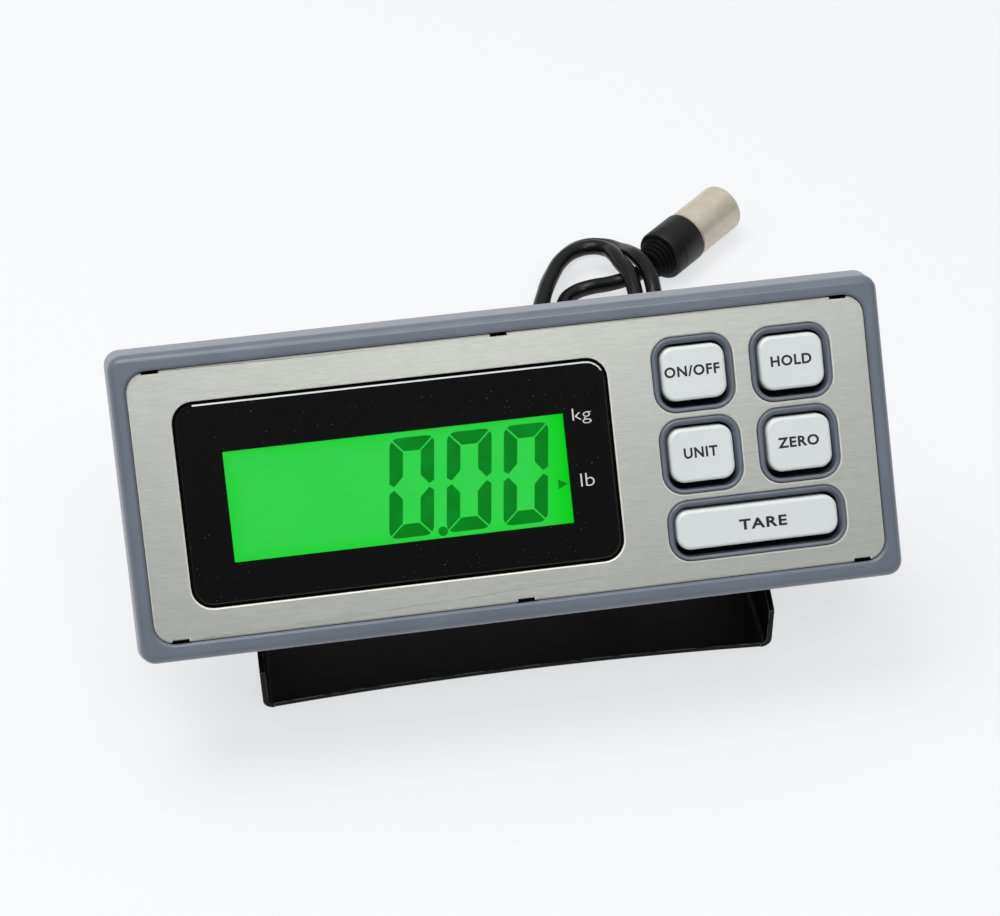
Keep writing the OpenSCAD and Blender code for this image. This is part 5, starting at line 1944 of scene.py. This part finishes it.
@dataclass(frozen=True)
class Faceplate:
    """The brushed steel plate with its openings and six bent tabs."""

    casing: FrontCasing = FrontCasing()
    collar_gap: float = 0.0003
    edge: float = 0.00034
    notch_depth: float = 0.004

    def build(self, keypad: Keypad) -> None:
        """Makes the plate, bevels its cut edges and bends its tabs.

        Args:
            keypad: The keys that its openings clear.
        """
        casing = self.casing
        extent = head_extent("faceplate")
        front = extent.high.z
        back = front - casing.plate_thickness
        shape = Shape()
        outer = shape.outline(Level(extent.width, extent.height, casing.plate_corner, front))
        holes = [shape.outline(casing.window(front))]
        for key in keypad.keys:
            collar = casing.collar_levels(keypad, key)[0]
            holes.append(shape.outline(collar.inset(-self.collar_gap, front)))
        shape.thicken(shape.fill(outer, *holes), back - front)
        plate = shape.piece("brushed_plate", [STEEL, CUT_STEEL_AND_HIGHLIGHT])
        edge = extent.height / 2
        half = casing.tab_width / 2
        rows = (edge - casing.tab_notch, edge + OVERRUN)
        cut(plate, casing.tab_blocks(half, rows, -self.notch_depth, OVERRUN))
        self._ease(plate, front)
        shade(plate.data)
        carry(plate, Body.HEAD, Slot.STEEL_FACE, "faceplate")
        rows = (edge - casing.tab_notch, edge - casing.tab_notch - casing.plate_thickness)
        tabs = casing.tab_blocks(half, rows, extent.low.z, back)
        tabs.soften(casing.tab_bevel)
        carry(tabs.piece("plate_tabs", [STEEL]), Body.HEAD, Slot.STEEL_FACE)

    def _ease(self, plate: bpy.types.Object, front: float) -> None:
        """Chamfers the front edges and paints them near white, for the bare cut steel and as a
        painted highlight along them.

        Args:
            plate: The plate.
            front: Height of its front face.
        """
        eased = bmesh.new()
        eased.from_mesh(plate.data)
        bmesh.ops.remove_doubles(eased, verts=eased.verts, dist=MERGE)
        to_head = HEAD.inverted()
        rim = [
            edge for edge in sharp_edges(eased)
            if all(abs((to_head @ vert.co).z - front) < 10 * MERGE for vert in edge.verts)
        ]
        # The chamfer faces take the near white cut steel and painted highlight.
        bmesh.ops.bevel(
            eased, geom=rim, offset=self.edge, offset_type="OFFSET", segments=1, profile=0.5,
            affect="EDGES", clamp_overlap=False, material=1,
        )
        eased.to_mesh(plate.data)
        eased.free()


@dataclass(frozen=True)
class SoftenedPart:
    """A CAD node whose shape is kept, with its hard edges rounded."""

    node: str
    name: str
    body: Body
    slot: Slot
    finish: Finish
    edge: float

    def build(self) -> None:
        """Copies the node, rounds its edges and takes its place."""
        shape = Shape()
        shape.take(self.node)
        shape.soften(self.edge)
        made = shape.piece(self.name, [self.finish], Matrix.Identity(4))
        even_normals(made)
        carry(made, self.body, self.slot, self.node)


SOFTENED = (
    SoftenedPart("stand_bracket", "stand_painted", Body.STAND, Slot.STAND, STAND, 0.00028),
    SoftenedPart("rear_cover", "rear_casing", Body.HEAD, Slot.CASING, CASING, 0.0004),
    SoftenedPart("knob_left", "clamp_knob_left", Body.KNOB_LEFT, Slot.KNOB, KNOB, 0.0004),
    SoftenedPart("knob_right", "clamp_knob_right", Body.KNOB_RIGHT, Slot.KNOB, KNOB, 0.0004),
)


def dress_nodes() -> None:
    """Gives each CAD node that stays its finish."""
    for node, finish in NODE_FINISHES.items():
        mesh = frame["nodes"][node].data
        mesh.materials.clear()
        mesh.materials.append(finish.material())
        LOG.info("%s: %s", node, finish.name)


def main() -> None:
    """Builds the scene: camera and cable first, then the object's sub-assemblies and the studio."""
    logging.basicConfig(level=logging.INFO, format="%(message)s")
    PhotoCamera().build()
    plug = Plug().build()
    strap = CoilStrap().build()
    SignalCable().build([*plug, strap])
    keypad = Keypad()
    display = Display()
    FrontCasing().build(keypad, display)
    Faceplate().build(keypad)
    Window().build(display)
    display.build()
    keypad.build()
    for part in SOFTENED:
        part.build()
    dress_nodes()
    Studio().build()


if __name__ == "__main__":
    main()
